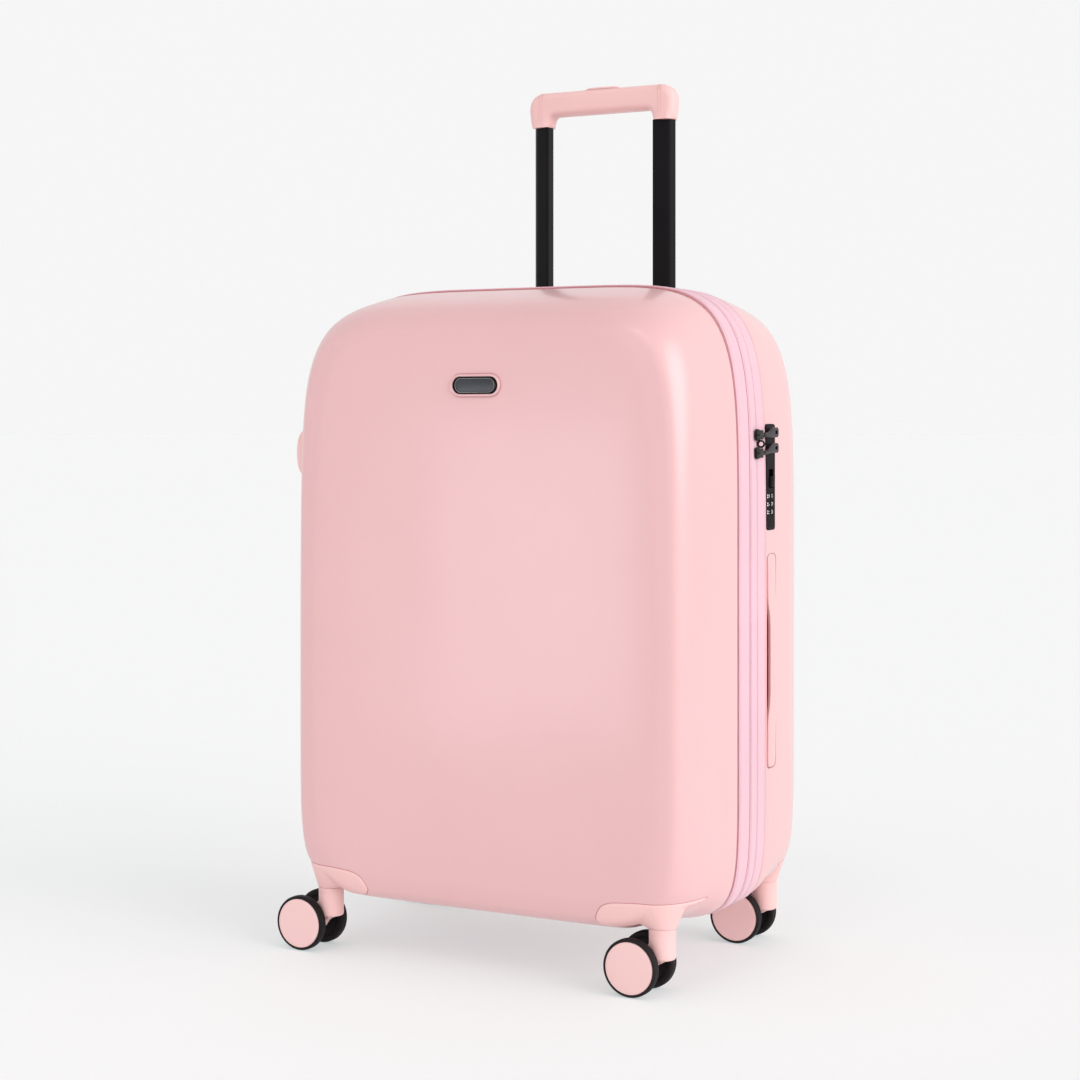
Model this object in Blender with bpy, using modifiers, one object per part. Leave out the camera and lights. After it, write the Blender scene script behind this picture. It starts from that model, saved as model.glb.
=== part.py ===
"""Hard shell suitcase on four twin-wheel swivel casters, as separate working pieces.

Metres, +Z up, +X to the lock side, -Y to the front. The origin is on the ground under the
middle of the four casters. The rear half carries the telescopic handle and the lock; the
front half swings on a vertical line beyond the left side.
"""
import math

import bmesh
import bpy
from mathutils import Matrix, Vector

# ---- driving dimensions -------------------------------------------------------------
HALF_WIDTH = 0.2338           # case, at the rim of each shell
CASE_TOP = 0.6785             # rim of the shells
CASE_BOTTOM = 0.0580
SPLIT_Y = 0.0013              # plane where the two halves meet
FRONT_RIM_Y = -0.0463         # rim of the front shell
REAR_RIM_Y = 0.0228           # rim of the rear shell
GAP = 0.0003                  # between pieces that touch
RIM_GAP = 0.0008              # between a shell rim and the band sewn to it
WALL = 0.0025                 # polycarbonate shell
BAND_WALL = 0.0040            # fabric bands with the zip
PERIMETER = 48                # points round each shell section

HINGE_X = -0.2425             # vertical line that the front half swings on

SWIVEL_X = 0.1897
SWIVEL_Y = 0.1219
SWIVEL_Z = 0.0643             # underside of the caster housing
TRAIL = 0.0238                # axle behind the swivel line
WHEEL_RADIUS = 0.02784
WHEEL_WIDTH = 0.0110
WHEEL_OUTER = 0.0249          # outer face of a wheel from the swivel line
POST_RADIUS = 0.0130
AXLE_RADIUS = 0.0030
CAP_RADIUS = 0.0250
CAP_DEPTH = 0.0015

TUBE_INNER_X = 0.0636         # inner side of the visible tubes
TUBE_WIDTH = 0.0216
TUBE_FRONT_Y = 0.1123
TUBE_DEPTH = 0.0150
TUBE_WALL = 0.0010
GRIP_TOP = 0.9050
GRIP_BOTTOM = 0.8780
GRIP_Y = (0.1116, 0.1345)
LEG_BOTTOM = 0.8670
RECESS_FLOOR = 0.6510         # the stowed grip sits on this floor

CARRY_LENGTH = 0.2150
CARRY_Y = 0.0400              # middle of the side and top carry handles
SIDE_CARRY_Z = 0.3045

FOOT_Z = 0.5110               # middle of the studs on the hinge side
FOOT_LENGTH = 0.0480

LOCK_Y = (0.0245, 0.0465)
LOCK_Z = (0.4355, 0.5415)
LOCK_FACE_X = 0.2340
DIAL_Z = (0.4534, 0.4614, 0.4694)
DIAL_X = 0.2265
DIAL_RADIUS = 0.0085

# ---- sections of the shells ---------------------------------------------------------
# Each section: (y, half width, bottom, top, corner power below, corner power above, taper).
FRONT_SECTIONS = (
    (FRONT_RIM_Y, HALF_WIDTH, CASE_BOTTOM, CASE_TOP, 11.0, 6.2, 0.0),
    (-0.0850, 0.2298, 0.0580, 0.6718, 10.5, 6.6, 0.006),
    (-0.1180, 0.2245, 0.0588, 0.6612, 10.0, 7.0, 0.01),
    (-0.1350, 0.2190, 0.0612, 0.6500, 9.0, 7.2, 0.02),
    (-0.1435, 0.2115, 0.0665, 0.6408, 8.5, 7.6, 0.035),
    (-0.1482, 0.1945, 0.0830, 0.6325, 8.0, 9.0, 0.09),
    (-0.1500, 0.1500, 0.1400, 0.5850, 6.0, 6.0, 0.06),
)
REAR_SECTIONS = (
    (REAR_RIM_Y, HALF_WIDTH, CASE_BOTTOM, 0.6795, 11.0, 6.2, 0.0),
    (0.0850, 0.2298, 0.0582, 0.6735, 10.5, 6.2, 0.0),
    (0.1150, 0.2247, 0.0590, 0.6670, 10.0, 6.4, 0.0),
    (0.1330, 0.2180, 0.0620, 0.6580, 9.0, 6.2, 0.0),
    (0.1440, 0.2085, 0.0690, 0.6430, 8.0, 6.0, 0.0),
    (0.1500, 0.1950, 0.0810, 0.6250, 7.0, 6.0, 0.0),
    (0.1512, 0.1500, 0.1300, 0.5800, 6.0, 6.0, 0.0),
)
FRONT_LINING_SECTIONS = (
    (-0.0030, 0.2285, 0.0640, 0.6740, 11.0, 5.8, 0.0),
    (-0.0150, 0.2270, 0.0900, 0.6710, 11.0, 5.4, 0.0),
    (-0.0900, 0.2240, 0.0905, 0.6640, 10.0, 5.8, 0.0),
    (-0.1250, 0.2150, 0.0920, 0.6480, 8.0, 6.2, 0.0),
    (-0.1390, 0.1960, 0.1020, 0.6270, 7.0, 6.5, 0.04),
    (-0.1430, 0.1500, 0.1500, 0.5850, 6.0, 6.0, 0.04),
)
REAR_LINING_SECTIONS = (
    (0.0050, 0.2285, 0.0640, 0.6728, 11.0, 5.8, 0.0),
    (0.0180, 0.2260, 0.0900, 0.6700, 11.0, 5.4, 0.0),
    (0.0225, 0.2060, 0.0920, 0.6500, 11.0, 6.5, 0.0),
    (0.0900, 0.2030, 0.0940, 0.6470, 9.0, 6.5, 0.0),
    (0.1010, 0.1920, 0.1040, 0.6360, 8.0, 6.5, 0.0),
    (0.1030, 0.1500, 0.1500, 0.5900, 6.0, 6.0, 0.0),
)

# ---- scene, collections and materials -----------------------------------------------
for old in list(bpy.data.objects):
    bpy.data.objects.remove(old, do_unlink=True)

PARTS = bpy.data.collections.new("hard_shell_suitcase")
CUTTERS = bpy.data.collections.new("cutters")
bpy.context.scene.collection.children.link(PARTS)
bpy.context.scene.collection.children.link(CUTTERS)


def material(name, colour, roughness, metallic=0.0):
    """A plain Principled material."""
    mat = bpy.data.materials.new(name)
    mat.use_nodes = True
    shader = mat.node_tree.nodes["Principled BSDF"]
    shader.inputs["Base Color"].default_value = (*colour, 1.0)
    shader.inputs["Roughness"].default_value = roughness
    shader.inputs["Metallic"].default_value = metallic
    return mat


SHELL_PINK = material("shell_pink", (0.87, 0.60, 0.62), 0.22)
TRIM_PINK = material("trim_pink", (0.86, 0.56, 0.57), 0.40)
CAP_PINK = material("cap_pink", (0.84, 0.57, 0.57), 0.45)
BAND_PINK = material("band_pink", (0.90, 0.62, 0.70), 0.75)
LINING_GREY = material("lining_grey", (0.45, 0.42, 0.43), 0.85)
TUBE_BLACK = material("tube_black", (0.02, 0.02, 0.022), 0.25, 0.9)
STEEL = material("steel", (0.55, 0.55, 0.56), 0.3, 1.0)
TYRE_BLACK = material("tyre_black", (0.02, 0.018, 0.02), 0.6)
LOCK_GREY = material("lock_grey", (0.06, 0.05, 0.055), 0.4, 0.3)
DIAL_GREY = material("dial_grey", (0.10, 0.10, 0.10), 0.5)
BADGE_GREY = material("badge_grey", (0.08, 0.08, 0.085), 0.3, 0.6)


# ---- mesh helpers -------------------------------------------------------------------
def place(name, bm, mat, origin=(0, 0, 0), guide=False):
    """Make an object of a bmesh whose coordinates are in the world, with its origin where asked."""
    bmesh.ops.recalc_face_normals(bm, faces=bm.faces)
    bmesh.ops.translate(bm, verts=bm.verts, vec=-Vector(origin))
    mesh = bpy.data.meshes.new(name)
    bm.to_mesh(mesh)
    bm.free()
    obj = bpy.data.objects.new(name, mesh)
    obj.location = origin
    if guide:
        CUTTERS.objects.link(obj)
        obj.hide_render = True
        obj.display_type = "WIRE"
        return obj
    mesh.materials.append(mat)
    PARTS.objects.link(obj)
    return obj


def smooth(obj, degrees=35):
    """Smooth shading with sharp edges above an angle."""
    obj.data.shade_smooth()
    obj.data.set_sharp_from_angle(angle=math.radians(degrees))
    return obj


def cut(obj, tool, operation="DIFFERENCE"):
    """Boolean with a guide object."""
    mod = obj.modifiers.new(operation.lower(), "BOOLEAN")
    mod.operation = operation
    mod.solver = "EXACT"
    mod.object = tool
    return obj


def bevel(obj, width, segments=2, angle=30):
    """Rounded edges."""
    mod = obj.modifiers.new("bevel", "BEVEL")
    mod.width = width
    mod.segments = segments
    mod.limit_method = "ANGLE"
    mod.angle_limit = math.radians(angle)
    return obj


def box_bmesh(low, high):
    """A box between two corners."""
    bm = bmesh.new()
    bmesh.ops.create_cube(bm, size=1.0)
    size = Vector(high) - Vector(low)
    middle = (Vector(high) + Vector(low)) / 2
    bmesh.ops.scale(bm, vec=size, verts=bm.verts)
    bmesh.ops.translate(bm, vec=middle, verts=bm.verts)
    return bm


def box(name, low, high, mat=None, origin=(0, 0, 0), guide=False):
    return place(name, box_bmesh(low, high), mat, origin, guide)


def cylinder(name, middle, axis, radius, length, sides, mat=None, origin=(0, 0, 0), guide=False):
    """A round bar centred on a point, along one of the X, Y or Z axes."""
    turn = {"X": Matrix.Rotation(math.pi / 2, 4, "Y"),
            "Y": Matrix.Rotation(math.pi / 2, 4, "X"),
            "Z": Matrix.Identity(4)}[axis]
    bm = bmesh.new()
    bmesh.ops.create_cone(bm, cap_ends=True, segments=sides, radius1=radius, radius2=radius,
                          depth=length, matrix=Matrix.Translation(middle) @ turn)
    return place(name, bm, mat, origin, guide)


def rounded(corners, radius, steps=3):
    """A closed outline whose corners are rounded with short arcs, as (a, b) points."""
    points = []
    count = len(corners)
    for i in range(count):
        here = Vector(corners[i])
        before = (Vector(corners[i - 1]) - here)
        after = (Vector(corners[(i + 1) % count]) - here)
        reach = min(radius, before.length * 0.45, after.length * 0.45)
        start = here + before.normalized() * reach
        end = here + after.normalized() * reach
        for k in range(steps + 1):
            t = k / steps
            points.append(start * (1 - t) ** 2 + here * 2 * t * (1 - t) + end * t ** 2)
    return [(p.x, p.y) for p in points]


def prism_bmesh(outline, axis, low, high):
    """An outline extruded along an axis: (x, z) outlines along Y, (y, z) along X, (x, y) along Z."""
    lift = {"X": lambda a, b, h: (h, a, b),
            "Y": lambda a, b, h: (a, h, b),
            "Z": lambda a, b, h: (a, b, h)}[axis]
    bm = bmesh.new()
    base = [bm.verts.new(lift(a, b, low)) for a, b in outline]
    face = bm.faces.new(base)
    grown = bmesh.ops.extrude_face_region(bm, geom=[face])
    top = [v for v in grown["geom"] if isinstance(v, bmesh.types.BMVert)]
    shift = Vector(lift(0, 0, high)) - Vector(lift(0, 0, low))
    bmesh.ops.translate(bm, vec=shift, verts=top)
    return bm


# ---- the two shells and what follows their form -------------------------------------
def section(y, half_width, bottom, top, power_low, power_high, taper, grow=0.0):
    """Points of one shell section: a superellipse with its own corner power above and below."""
    middle = (bottom + top) * 0.47
    points = []
    for k in range(PERIMETER):
        angle = 2 * math.pi * k / PERIMETER
        c, s = math.cos(angle), math.sin(angle)
        power = power_high if s > 0 else power_low
        reach = (top - middle if s > 0 else middle - bottom) + grow
        x = (half_width + grow) * math.copysign(abs(c) ** (2 / power), c)
        rise = math.copysign(abs(s) ** (2 / power), s)
        if rise > 0:
            x *= 1 - taper * rise * rise
        points.append((x, y, middle + reach * rise))
    return points


def loft(sections, capped_rim, grow=0.0):
    """Skin through the sections, closed at its far end; the rim is closed too when asked."""
    bm = bmesh.new()
    loops = []
    for values in sections:
        loops.append([bm.verts.new(p) for p in section(*values, grow=grow)])
    for one, two in zip(loops, loops[1:]):
        for k in range(PERIMETER):
            n = (k + 1) % PERIMETER
            bm.faces.new((one[k], one[n], two[n], two[k]))
    ends = [loops[-1], loops[0]] if capped_rim else [loops[-1]]
    for loop in ends:
        bm.faces.new(loop)
    return bm


def shell(name, sections, thickness, mat):
    """An open half shell of even wall, its outer skin on the sections."""
    bm = loft(sections, capped_rim=False)
    obj = place(name, bm, mat)
    outward = sum((f.normal.y * f.area for f in obj.data.polygons)) * sections[-1][0]
    if outward < 0:
        obj.data.flip_normals()
    mod = obj.modifiers.new("wall", "SOLIDIFY")
    mod.thickness = thickness
    mod.offset = -1.0
    return smooth(obj, 40)


def band(name, y_low, y_high, mat):
    """One closed fabric band round the case."""
    values = (HALF_WIDTH + 0.0004, CASE_BOTTOM - 0.0004, CASE_TOP + 0.0022, 11.0, 6.2, 0.0)
    bm = bmesh.new()
    outer = [[bm.verts.new(p) for p in section(y, *values)] for y in (y_low, y_high)]
    inner = [[bm.verts.new(p) for p in section(y, *values, grow=-BAND_WALL)] for y in (y_low, y_high)]
    rings = [outer[0], outer[1], inner[1], inner[0]]
    for i in range(4):
        one, two = rings[i], rings[(i + 1) % 4]
        for k in range(PERIMETER):
            n = (k + 1) % PERIMETER
            bm.faces.new((one[k], one[n], two[n], two[k]))
    return smooth(place(name, bm, mat), 40)


# ---- carry handles ------------------------------------------------------------------
def turned_up(bm):
    """Turn the side handle's place into the top handle's place."""
    bmesh.ops.translate(bm, vec=(-LOCK_FACE_X, 0, -SIDE_CARRY_Z), verts=bm.verts)
    bmesh.ops.rotate(bm, cent=(0, 0, 0), matrix=Matrix.Rotation(-math.pi / 2, 3, "Y"), verts=bm.verts)
    bmesh.ops.translate(bm, vec=(0, 0, CASE_TOP + 0.0016), verts=bm.verts)
    return bm


def carry_outline():
    """Side view of the carry handle, (x, z): thick ends and a thin arched grip."""
    half = CARRY_LENGTH / 2 - 0.0015
    low = SIDE_CARRY_Z
    corners = [(0.2225, low - half), (0.2325, low - half), (0.2352, low - half * 0.4),
               (0.2352, low + half * 0.4), (0.2325, low + half), (0.2225, low + half),
               (0.2225, low + half - 0.028), (0.2288, low + half - 0.045),
               (0.2288, low - half + 0.045), (0.2225, low - half + 0.028)]
    return rounded(corners, 0.006, 2)


def carry_handle(name, on_top):
    """The grip that pulls out of its recess."""
    bm = prism_bmesh(carry_outline(), "Y", CARRY_Y - 0.0080, CARRY_Y + 0.0110)
    origin = (LOCK_FACE_X, CARRY_Y, SIDE_CARRY_Z)
    if on_top:
        bm = turned_up(bm)
        origin = (0, CARRY_Y, CASE_TOP)
    return smooth(bevel(place(name, bm, TRIM_PINK, origin), 0.0022, 2, 50))


def carry_box(grow, depth, on_top, name):
    """Guide for the recess of a carry handle, or for the tray round it."""
    half = CARRY_LENGTH / 2 + grow
    bm = box_bmesh((depth, CARRY_Y - 0.0151 - grow, SIDE_CARRY_Z - half),
                   (0.2300 if grow else 0.2420, CARRY_Y + 0.0120 + grow, SIDE_CARRY_Z + half))
    if on_top:
        bm = turned_up(bm)
    return place(name, bm, None, guide=True)


def add_carry_recess(target, on_top, tag):
    """A moulded tray in the shell, open outwards."""
    cut(target, carry_box(0.0025, 0.2105, on_top, tag + "_tray"), "UNION")
    cut(target, carry_box(0.0, 0.2130, on_top, tag + "_pocket"))


# ---- shells -------------------------------------------------------------------------
HOUSING_LOW = (0.1410, 0.0830, 0.0500)     # near corner of a caster housing, |x|, |y|, z
HOUSING_HIGH = (0.2500, 0.1600, 0.0880)


def corner_box(name, side, depth, shrink):
    """Guide round one bottom corner; side and depth are the signs of x and y."""
    xs = sorted((side * (HOUSING_LOW[0] + shrink), side * HOUSING_HIGH[0]))
    ys = sorted((depth * (HOUSING_LOW[1] + shrink), depth * HOUSING_HIGH[1]))
    return box(name, (xs[0], ys[0], HOUSING_LOW[2]), (xs[1], ys[1], HOUSING_HIGH[2] - shrink), guide=True)


def build_front_half():
    """Front shell, its band, its lining, the blank badge and a side foot."""
    front = shell("front_shell", FRONT_SECTIONS, WALL, SHELL_PINK)
    for side in (-1, 1):
        cut(front, corner_box("front_corner_cut_%d" % side, side, -1, 0.0))
    band("front_band", FRONT_RIM_Y + RIM_GAP, SPLIT_Y - GAP, BAND_PINK)
    shell("front_lining", FRONT_LINING_SECTIONS, 0.0012, LINING_GREY)
    plate = rounded([(-0.0256, 0.5712), (0.0256, 0.5712), (0.0256, 0.5882), (-0.0256, 0.5882)], 0.0082, 5)
    bm = prism_bmesh(plate, "Y", -0.1524, -0.1504)
    badge = smooth(place("badge_plate", bm, BADGE_GREY), 40)
    bevel(badge, 0.0004, 1, 50)
    side_foot("front_foot", -0.1100)


def side_foot(name, y):
    """A low stud high on the hinge side; with the casters it carries the case laid on that side."""
    low, high = FOOT_Z - FOOT_LENGTH / 2, FOOT_Z + FOOT_LENGTH / 2
    ends = [(y - 0.006, low), (y + 0.006, low), (y + 0.006, high), (y - 0.006, high)]
    bm = prism_bmesh(rounded(ends, 0.0055, 3), "X", -0.2400, -0.2285)
    return smooth(bevel(place(name, bm, TRIM_PINK), 0.0015, 2, 50))


def build_rear_half():
    """Rear shell with its recesses, its band, lining and foot."""
    rear = shell("rear_shell", REAR_SECTIONS, WALL, SHELL_PINK)
    for side in (-1, 1):
        cut(rear, corner_box("rear_corner_cut_%d" % side, side, 1, 0.0))
    add_carry_recess(rear, False, "side_carry")
    add_carry_recess(rear, True, "top_carry")
    cut(rear, housing_box("top_housing_cut", 0.0003))
    lock = box("lock_cut", (0.2100, LOCK_Y[0] - GAP, LOCK_Z[0] - GAP),
               (0.2500, LOCK_Y[1] + GAP, LOCK_Z[1] + GAP), guide=True)
    cut(rear, lock)
    band("rear_band", SPLIT_Y + GAP, REAR_RIM_Y - RIM_GAP, BAND_PINK)
    shell("rear_lining", REAR_LINING_SECTIONS, 0.0012, LINING_GREY)
    side_foot("rear_foot", 0.1100)
    strip = box("hinge_spine", (-0.2450, SPLIT_Y + 0.0004, 0.1500), (-0.2345, SPLIT_Y + 0.0032, 0.6000),
                BAND_PINK, origin=(HINGE_X, SPLIT_Y, 0.375))
    bevel(strip, 0.0010, 2)


# ---- telescopic handle --------------------------------------------------------------
def offset_outline(corners, distance):
    """Corners of a convex outline, moved outwards by an even distance."""
    count = len(corners)
    area = sum(corners[i - 1][0] * corners[i][1] - corners[i][0] * corners[i - 1][1] for i in range(count))
    hand = 1 if area > 0 else -1
    moved = []
    for i in range(count):
        here = Vector(corners[i])
        into = (here - Vector(corners[i - 1])).normalized()
        away = (Vector(corners[(i + 1) % count]) - here).normalized()
        normal_in = Vector((into.y, -into.x)) * hand
        normal_out = Vector((away.y, -away.x)) * hand
        mitre = normal_in + normal_out
        moved.append(here + mitre * (distance / (1 + normal_in.dot(normal_out))))
    return [(p.x, p.y) for p in moved]


def tube_outline(side, grow):
    """Section of a handle tube: its front face is swept back towards the outside."""
    wide, deep = TUBE_WIDTH, TUBE_DEPTH
    corners = [(0.0, 0.0), (wide * 0.80, deep * 0.40), (wide, deep * 0.72), (wide, deep), (0.0, deep)]
    points = rounded(offset_outline(corners, grow), 0.0028 + grow, 3)
    return [(side * (TUBE_INNER_X + x), TUBE_FRONT_Y + y) for x, y in points]


def tube(name, side, grow, z_low, z_high, mat, origin_z):
    """A drawn tube: the outline's wall stood up, then thickened inwards."""
    bm = bmesh.new()
    outline = tube_outline(side, grow)
    loops = [[bm.verts.new((x, y, z)) for x, y in outline] for z in (z_low, z_high)]
    count = len(outline)
    for k in range(count):
        n = (k + 1) % count
        bm.faces.new((loops[0][k], loops[0][n], loops[1][n], loops[1][k]))
    centre = (side * (TUBE_INNER_X + TUBE_WIDTH / 2), TUBE_FRONT_Y + TUBE_DEPTH / 2, origin_z)
    obj = place(name, bm, mat, centre)
    face = obj.data.polygons[0]
    if face.normal.dot(face.center) < 0:
        obj.data.flip_normals()
    mod = obj.modifiers.new("wall", "SOLIDIFY")
    mod.thickness = TUBE_WALL
    mod.offset = -1.0
    return smooth(obj, 40)


def housing_box(name, grow):
    """Guide for the tray that the stowed grip drops into."""
    return box(name, (-0.0990 - grow, 0.1045 - grow, 0.6400 - grow),
               (0.0990 + grow, 0.1405 + grow, 0.7000), guide=True)


def build_handle_housing():
    """The tray let into the top rear edge, with a floor for the tubes to pass."""
    form = place("handle_housing", loft(REAR_SECTIONS, capped_rim=True), TRIM_PINK)
    cut(form, housing_box("top_housing_form", 0.0), "INTERSECT")
    cut(form, box("grip_pocket", (-0.0945, 0.1070, RECESS_FLOOR), (0.0945, 0.1370, 0.7000), guide=True))
    for side in (-1, 1):
        hole = prism_bmesh(tube_outline(side, 0.0021), "Z", 0.6300, 0.6600)
        cut(form, place("tube_hole_%d" % side, hole, None, guide=True))
    return smooth(form, 35)


def grip_outline():
    """Front view of the grip, (x, z): a bar with two short legs."""
    half = [(0.0, GRIP_TOP), (0.0810, GRIP_TOP), (0.0874, 0.9000), (0.0888, 0.8890),
            (0.0860, LEG_BOTTOM), (0.0626, LEG_BOTTOM), (0.0616, 0.8740), (0.0580, GRIP_BOTTOM),
            (0.0, GRIP_BOTTOM)]
    return half + [(-x, z) for x, z in reversed(half[1:-1])]


def build_handle():
    """Outer, middle and inner tubes, the grip and its release button."""
    for tag, side in (("left", -1), ("right", 1)):
        tube("outer_tube_" + tag, side, 0.0030, 0.1000, 0.6397, STEEL, 0.1000)
        tube("middle_tube_" + tag, side, 0.0015, 0.1500, 0.6525, TUBE_BLACK, 0.1500)
        tube("inner_tube_" + tag, side, 0.0, 0.4600, LEG_BOTTOM - GAP, TUBE_BLACK, 0.4600)
    foot = box("tube_foot", (-0.0920, 0.1075, 0.0945), (0.0920, 0.1325, 0.1000 - GAP), STEEL)
    bevel(foot, 0.0015, 2)
    bm = prism_bmesh(grip_outline(), "Y", *GRIP_Y)
    middle_y = sum(GRIP_Y) / 2
    grip = place("grip", bm, TRIM_PINK, origin=(0, middle_y, GRIP_TOP))
    bevel(grip, 0.0045, 3, 50)
    cut(grip, box("button_pocket", (-0.0208, middle_y - 0.0073, 0.8950),
                  (0.0208, middle_y + 0.0073, 0.9200), guide=True))
    smooth(grip, 40)
    button = box("grip_button", (-0.0205, middle_y - 0.0070, 0.8984), (0.0205, middle_y + 0.0070, 0.9074),
                 TRIM_PINK, origin=(0, middle_y, GRIP_TOP))
    smooth(bevel(button, 0.0022, 2), 40)


# ---- lock, zip sliders and pullers --------------------------------------------------
def build_lock():
    """Lock body let into the side, three dials and the release catch."""
    middle_y = sum(LOCK_Y) / 2
    low = (0.2190, LOCK_Y[0], LOCK_Z[0])
    high = (LOCK_FACE_X, LOCK_Y[1], LOCK_Z[1])
    case = box("lock_case", low, high, LOCK_GREY)
    bevel(case, 0.0012, 1)
    for k, z in enumerate(DIAL_Z):
        hole = cylinder("dial_hole_%d" % k, (DIAL_X, middle_y, z), "Z", DIAL_RADIUS + 0.0004, 0.0070, 24,
                        guide=True)
        cut(case, hole)
        name = "lock_dial_%d" % (k + 1)
        dial = cylinder(name, (DIAL_X, middle_y, z), "Z", DIAL_RADIUS, 0.0062, 20, DIAL_GREY,
                        origin=(DIAL_X, middle_y, z))
        bevel(dial, 0.0005, 1)
    slot = box("catch_slot", (0.2300, middle_y - 0.0050, 0.4780), (0.2400, middle_y + 0.0050, 0.4960),
               guide=True)
    cut(case, slot)
    catch = box("lock_catch", (0.2304, middle_y - 0.0045, 0.4790), (0.2356, middle_y + 0.0045, 0.4890),
                LOCK_GREY, origin=(0.2304, middle_y, 0.4840))
    bevel(catch, 0.0008, 1)


def build_slider(tag, z):
    """A zip slider astride the zip and its puller tab lying over the lock."""
    body = [(-0.0082, z - 0.0060), (0.0090, z - 0.0060), (0.0090, z + 0.0060), (-0.0082, z + 0.0060)]
    slider = prism_bmesh(rounded(body, 0.0030, 3), "X", 0.2346, 0.2396)
    piece = place("zip_slider_" + tag, slider, LOCK_GREY, origin=(0.2346, SPLIT_Y, z))
    bevel(piece, 0.0008, 1, 50)
    reach, end = 0.0098, 0.0446
    low, high = (z - 0.0028, z + 0.0074) if tag == "upper" else (z - 0.0004, z + 0.0098)
    tab = [(reach, z - 0.0022), (0.0230, low), (end, low), (end, high), (0.0280, high),
           (0.0220, high - 0.0033), (reach, z + 0.0022)]
    puller = prism_bmesh(rounded(tab, 0.0020, 2), "X", 0.2364, 0.2390)
    piece = place("puller_" + tag, puller, LOCK_GREY, origin=(0.2377, 0.0110, z))
    bevel(piece, 0.0007, 1, 50)


# ---- casters ------------------------------------------------------------------------
def wheel_profile():
    """Half section of a wheel round its axle, (radius, depth), outer side running down."""
    half = WHEEL_WIDTH / 2
    seat = half - CAP_DEPTH - GAP
    bore = AXLE_RADIUS + GAP
    return [(bore, seat), (CAP_RADIUS + GAP, seat), (CAP_RADIUS + GAP, half), (0.0266, half),
            (WHEEL_RADIUS, half - 0.0018), (WHEEL_RADIUS, -half + 0.0018), (0.0262, -half),
            (bore, -half)]


def make_wheel_mesh():
    """One wheel turned about Z, its capped face up; shared by all eight."""
    bm = bmesh.new()
    verts = [bm.verts.new((r, 0, h)) for r, h in wheel_profile()]
    for one, two in zip(verts, verts[1:] + verts[:1]):
        bm.edges.new((one, two))
    mesh = bpy.data.meshes.new("wheel")
    bm.to_mesh(mesh)
    bm.free()
    mesh.materials.append(TYRE_BLACK)
    return mesh


def add_wheel(name, mesh, centre, face):
    """Place a wheel with its capped face towards the sign of face along Y."""
    obj = bpy.data.objects.new(name, mesh)
    obj.location = centre
    obj.rotation_euler = (-face * math.pi / 2, 0, 0)
    PARTS.objects.link(obj)
    mod = obj.modifiers.new("turn", "SCREW")
    mod.steps = 24
    mod.render_steps = 24
    mod.use_merge_vertices = True
    mod.merge_threshold = 0.00001
    mod.use_smooth_shade = True
    return obj


def build_fork(tag, x, y):
    """Post on the swivel line and an arm back to the axle, one moulding."""
    centre = (x, y, (0.0310 + SWIVEL_Z - GAP) / 2)
    height = SWIVEL_Z - GAP - 0.0310
    fork = cylinder("fork_" + tag, centre, "Z", POST_RADIUS, height, 24, TRIM_PINK,
                    origin=(x, y, SWIVEL_Z))
    bevel(fork, 0.0020, 2, 50)
    axle_z = WHEEL_RADIUS
    arm = [(x + 0.004, 0.0330), (x + 0.004, 0.0500), (x - 0.010, 0.0500), (x - TRAIL, axle_z + 0.0110),
           (x - TRAIL - 0.0100, axle_z + 0.0040), (x - TRAIL - 0.0100, axle_z - 0.0050),
           (x - TRAIL, axle_z - 0.0105), (x - 0.008, axle_z - 0.0040)]
    bm = prism_bmesh(rounded(arm, 0.004, 2), "Y", y - 0.0085, y + 0.0085)
    cut(fork, place("arm_" + tag, bm, None, guide=True), "UNION")
    bore = cylinder("axle_bore_" + tag, (x - TRAIL, y, axle_z), "Y", AXLE_RADIUS + GAP, 0.06, 16, guide=True)
    cut(fork, bore)
    return smooth(fork, 40)


def build_caster(tag, side, depth, wheel_mesh):
    """Housing in the corner, swivelling fork, axle, two wheels and their caps."""
    x, y = side * SWIVEL_X, depth * SWIVEL_Y
    sections = REAR_SECTIONS if depth > 0 else FRONT_SECTIONS
    housing = place("caster_housing_" + tag, loft(sections, capped_rim=True), TRIM_PINK)
    cut(housing, corner_box("housing_form_" + tag, side, depth, GAP), "INTERSECT")
    cut(housing, box("housing_well_" + tag, (min(side * 0.150, side * 0.2070), min(depth * 0.090, depth * 0.136),
                     0.0720), (max(side * 0.150, side * 0.2070), max(depth * 0.090, depth * 0.136), 0.0950),
                     guide=True))
    under = box("housing_under_" + tag, (-0.3, -0.3, 0.0), (0.3, 0.3, SWIVEL_Z), guide=True)
    cut(housing, under)
    smooth(housing, 35)
    build_fork(tag, x, y)
    axle_x = x - TRAIL
    inner = WHEEL_OUTER - CAP_DEPTH - GAP
    cylinder("axle_" + tag, (axle_x, y, WHEEL_RADIUS), "Y", AXLE_RADIUS, 2 * inner - 0.0006, 14, STEEL,
             origin=(axle_x, y, WHEEL_RADIUS))
    for letter, face in (("front", -1), ("back", 1)):
        centre = (axle_x, y + face * (WHEEL_OUTER - WHEEL_WIDTH / 2), WHEEL_RADIUS)
        add_wheel("wheel_%s_%s" % (tag, letter), wheel_mesh, centre, face)
        cap_y = y + face * (WHEEL_OUTER - CAP_DEPTH / 2)
        cap = cylinder("cap_%s_%s" % (tag, letter), (axle_x, cap_y, WHEEL_RADIUS), "Y", CAP_RADIUS,
                       CAP_DEPTH, 24, CAP_PINK, origin=(axle_x, cap_y, WHEEL_RADIUS))
        smooth(cap, 40)


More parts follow.
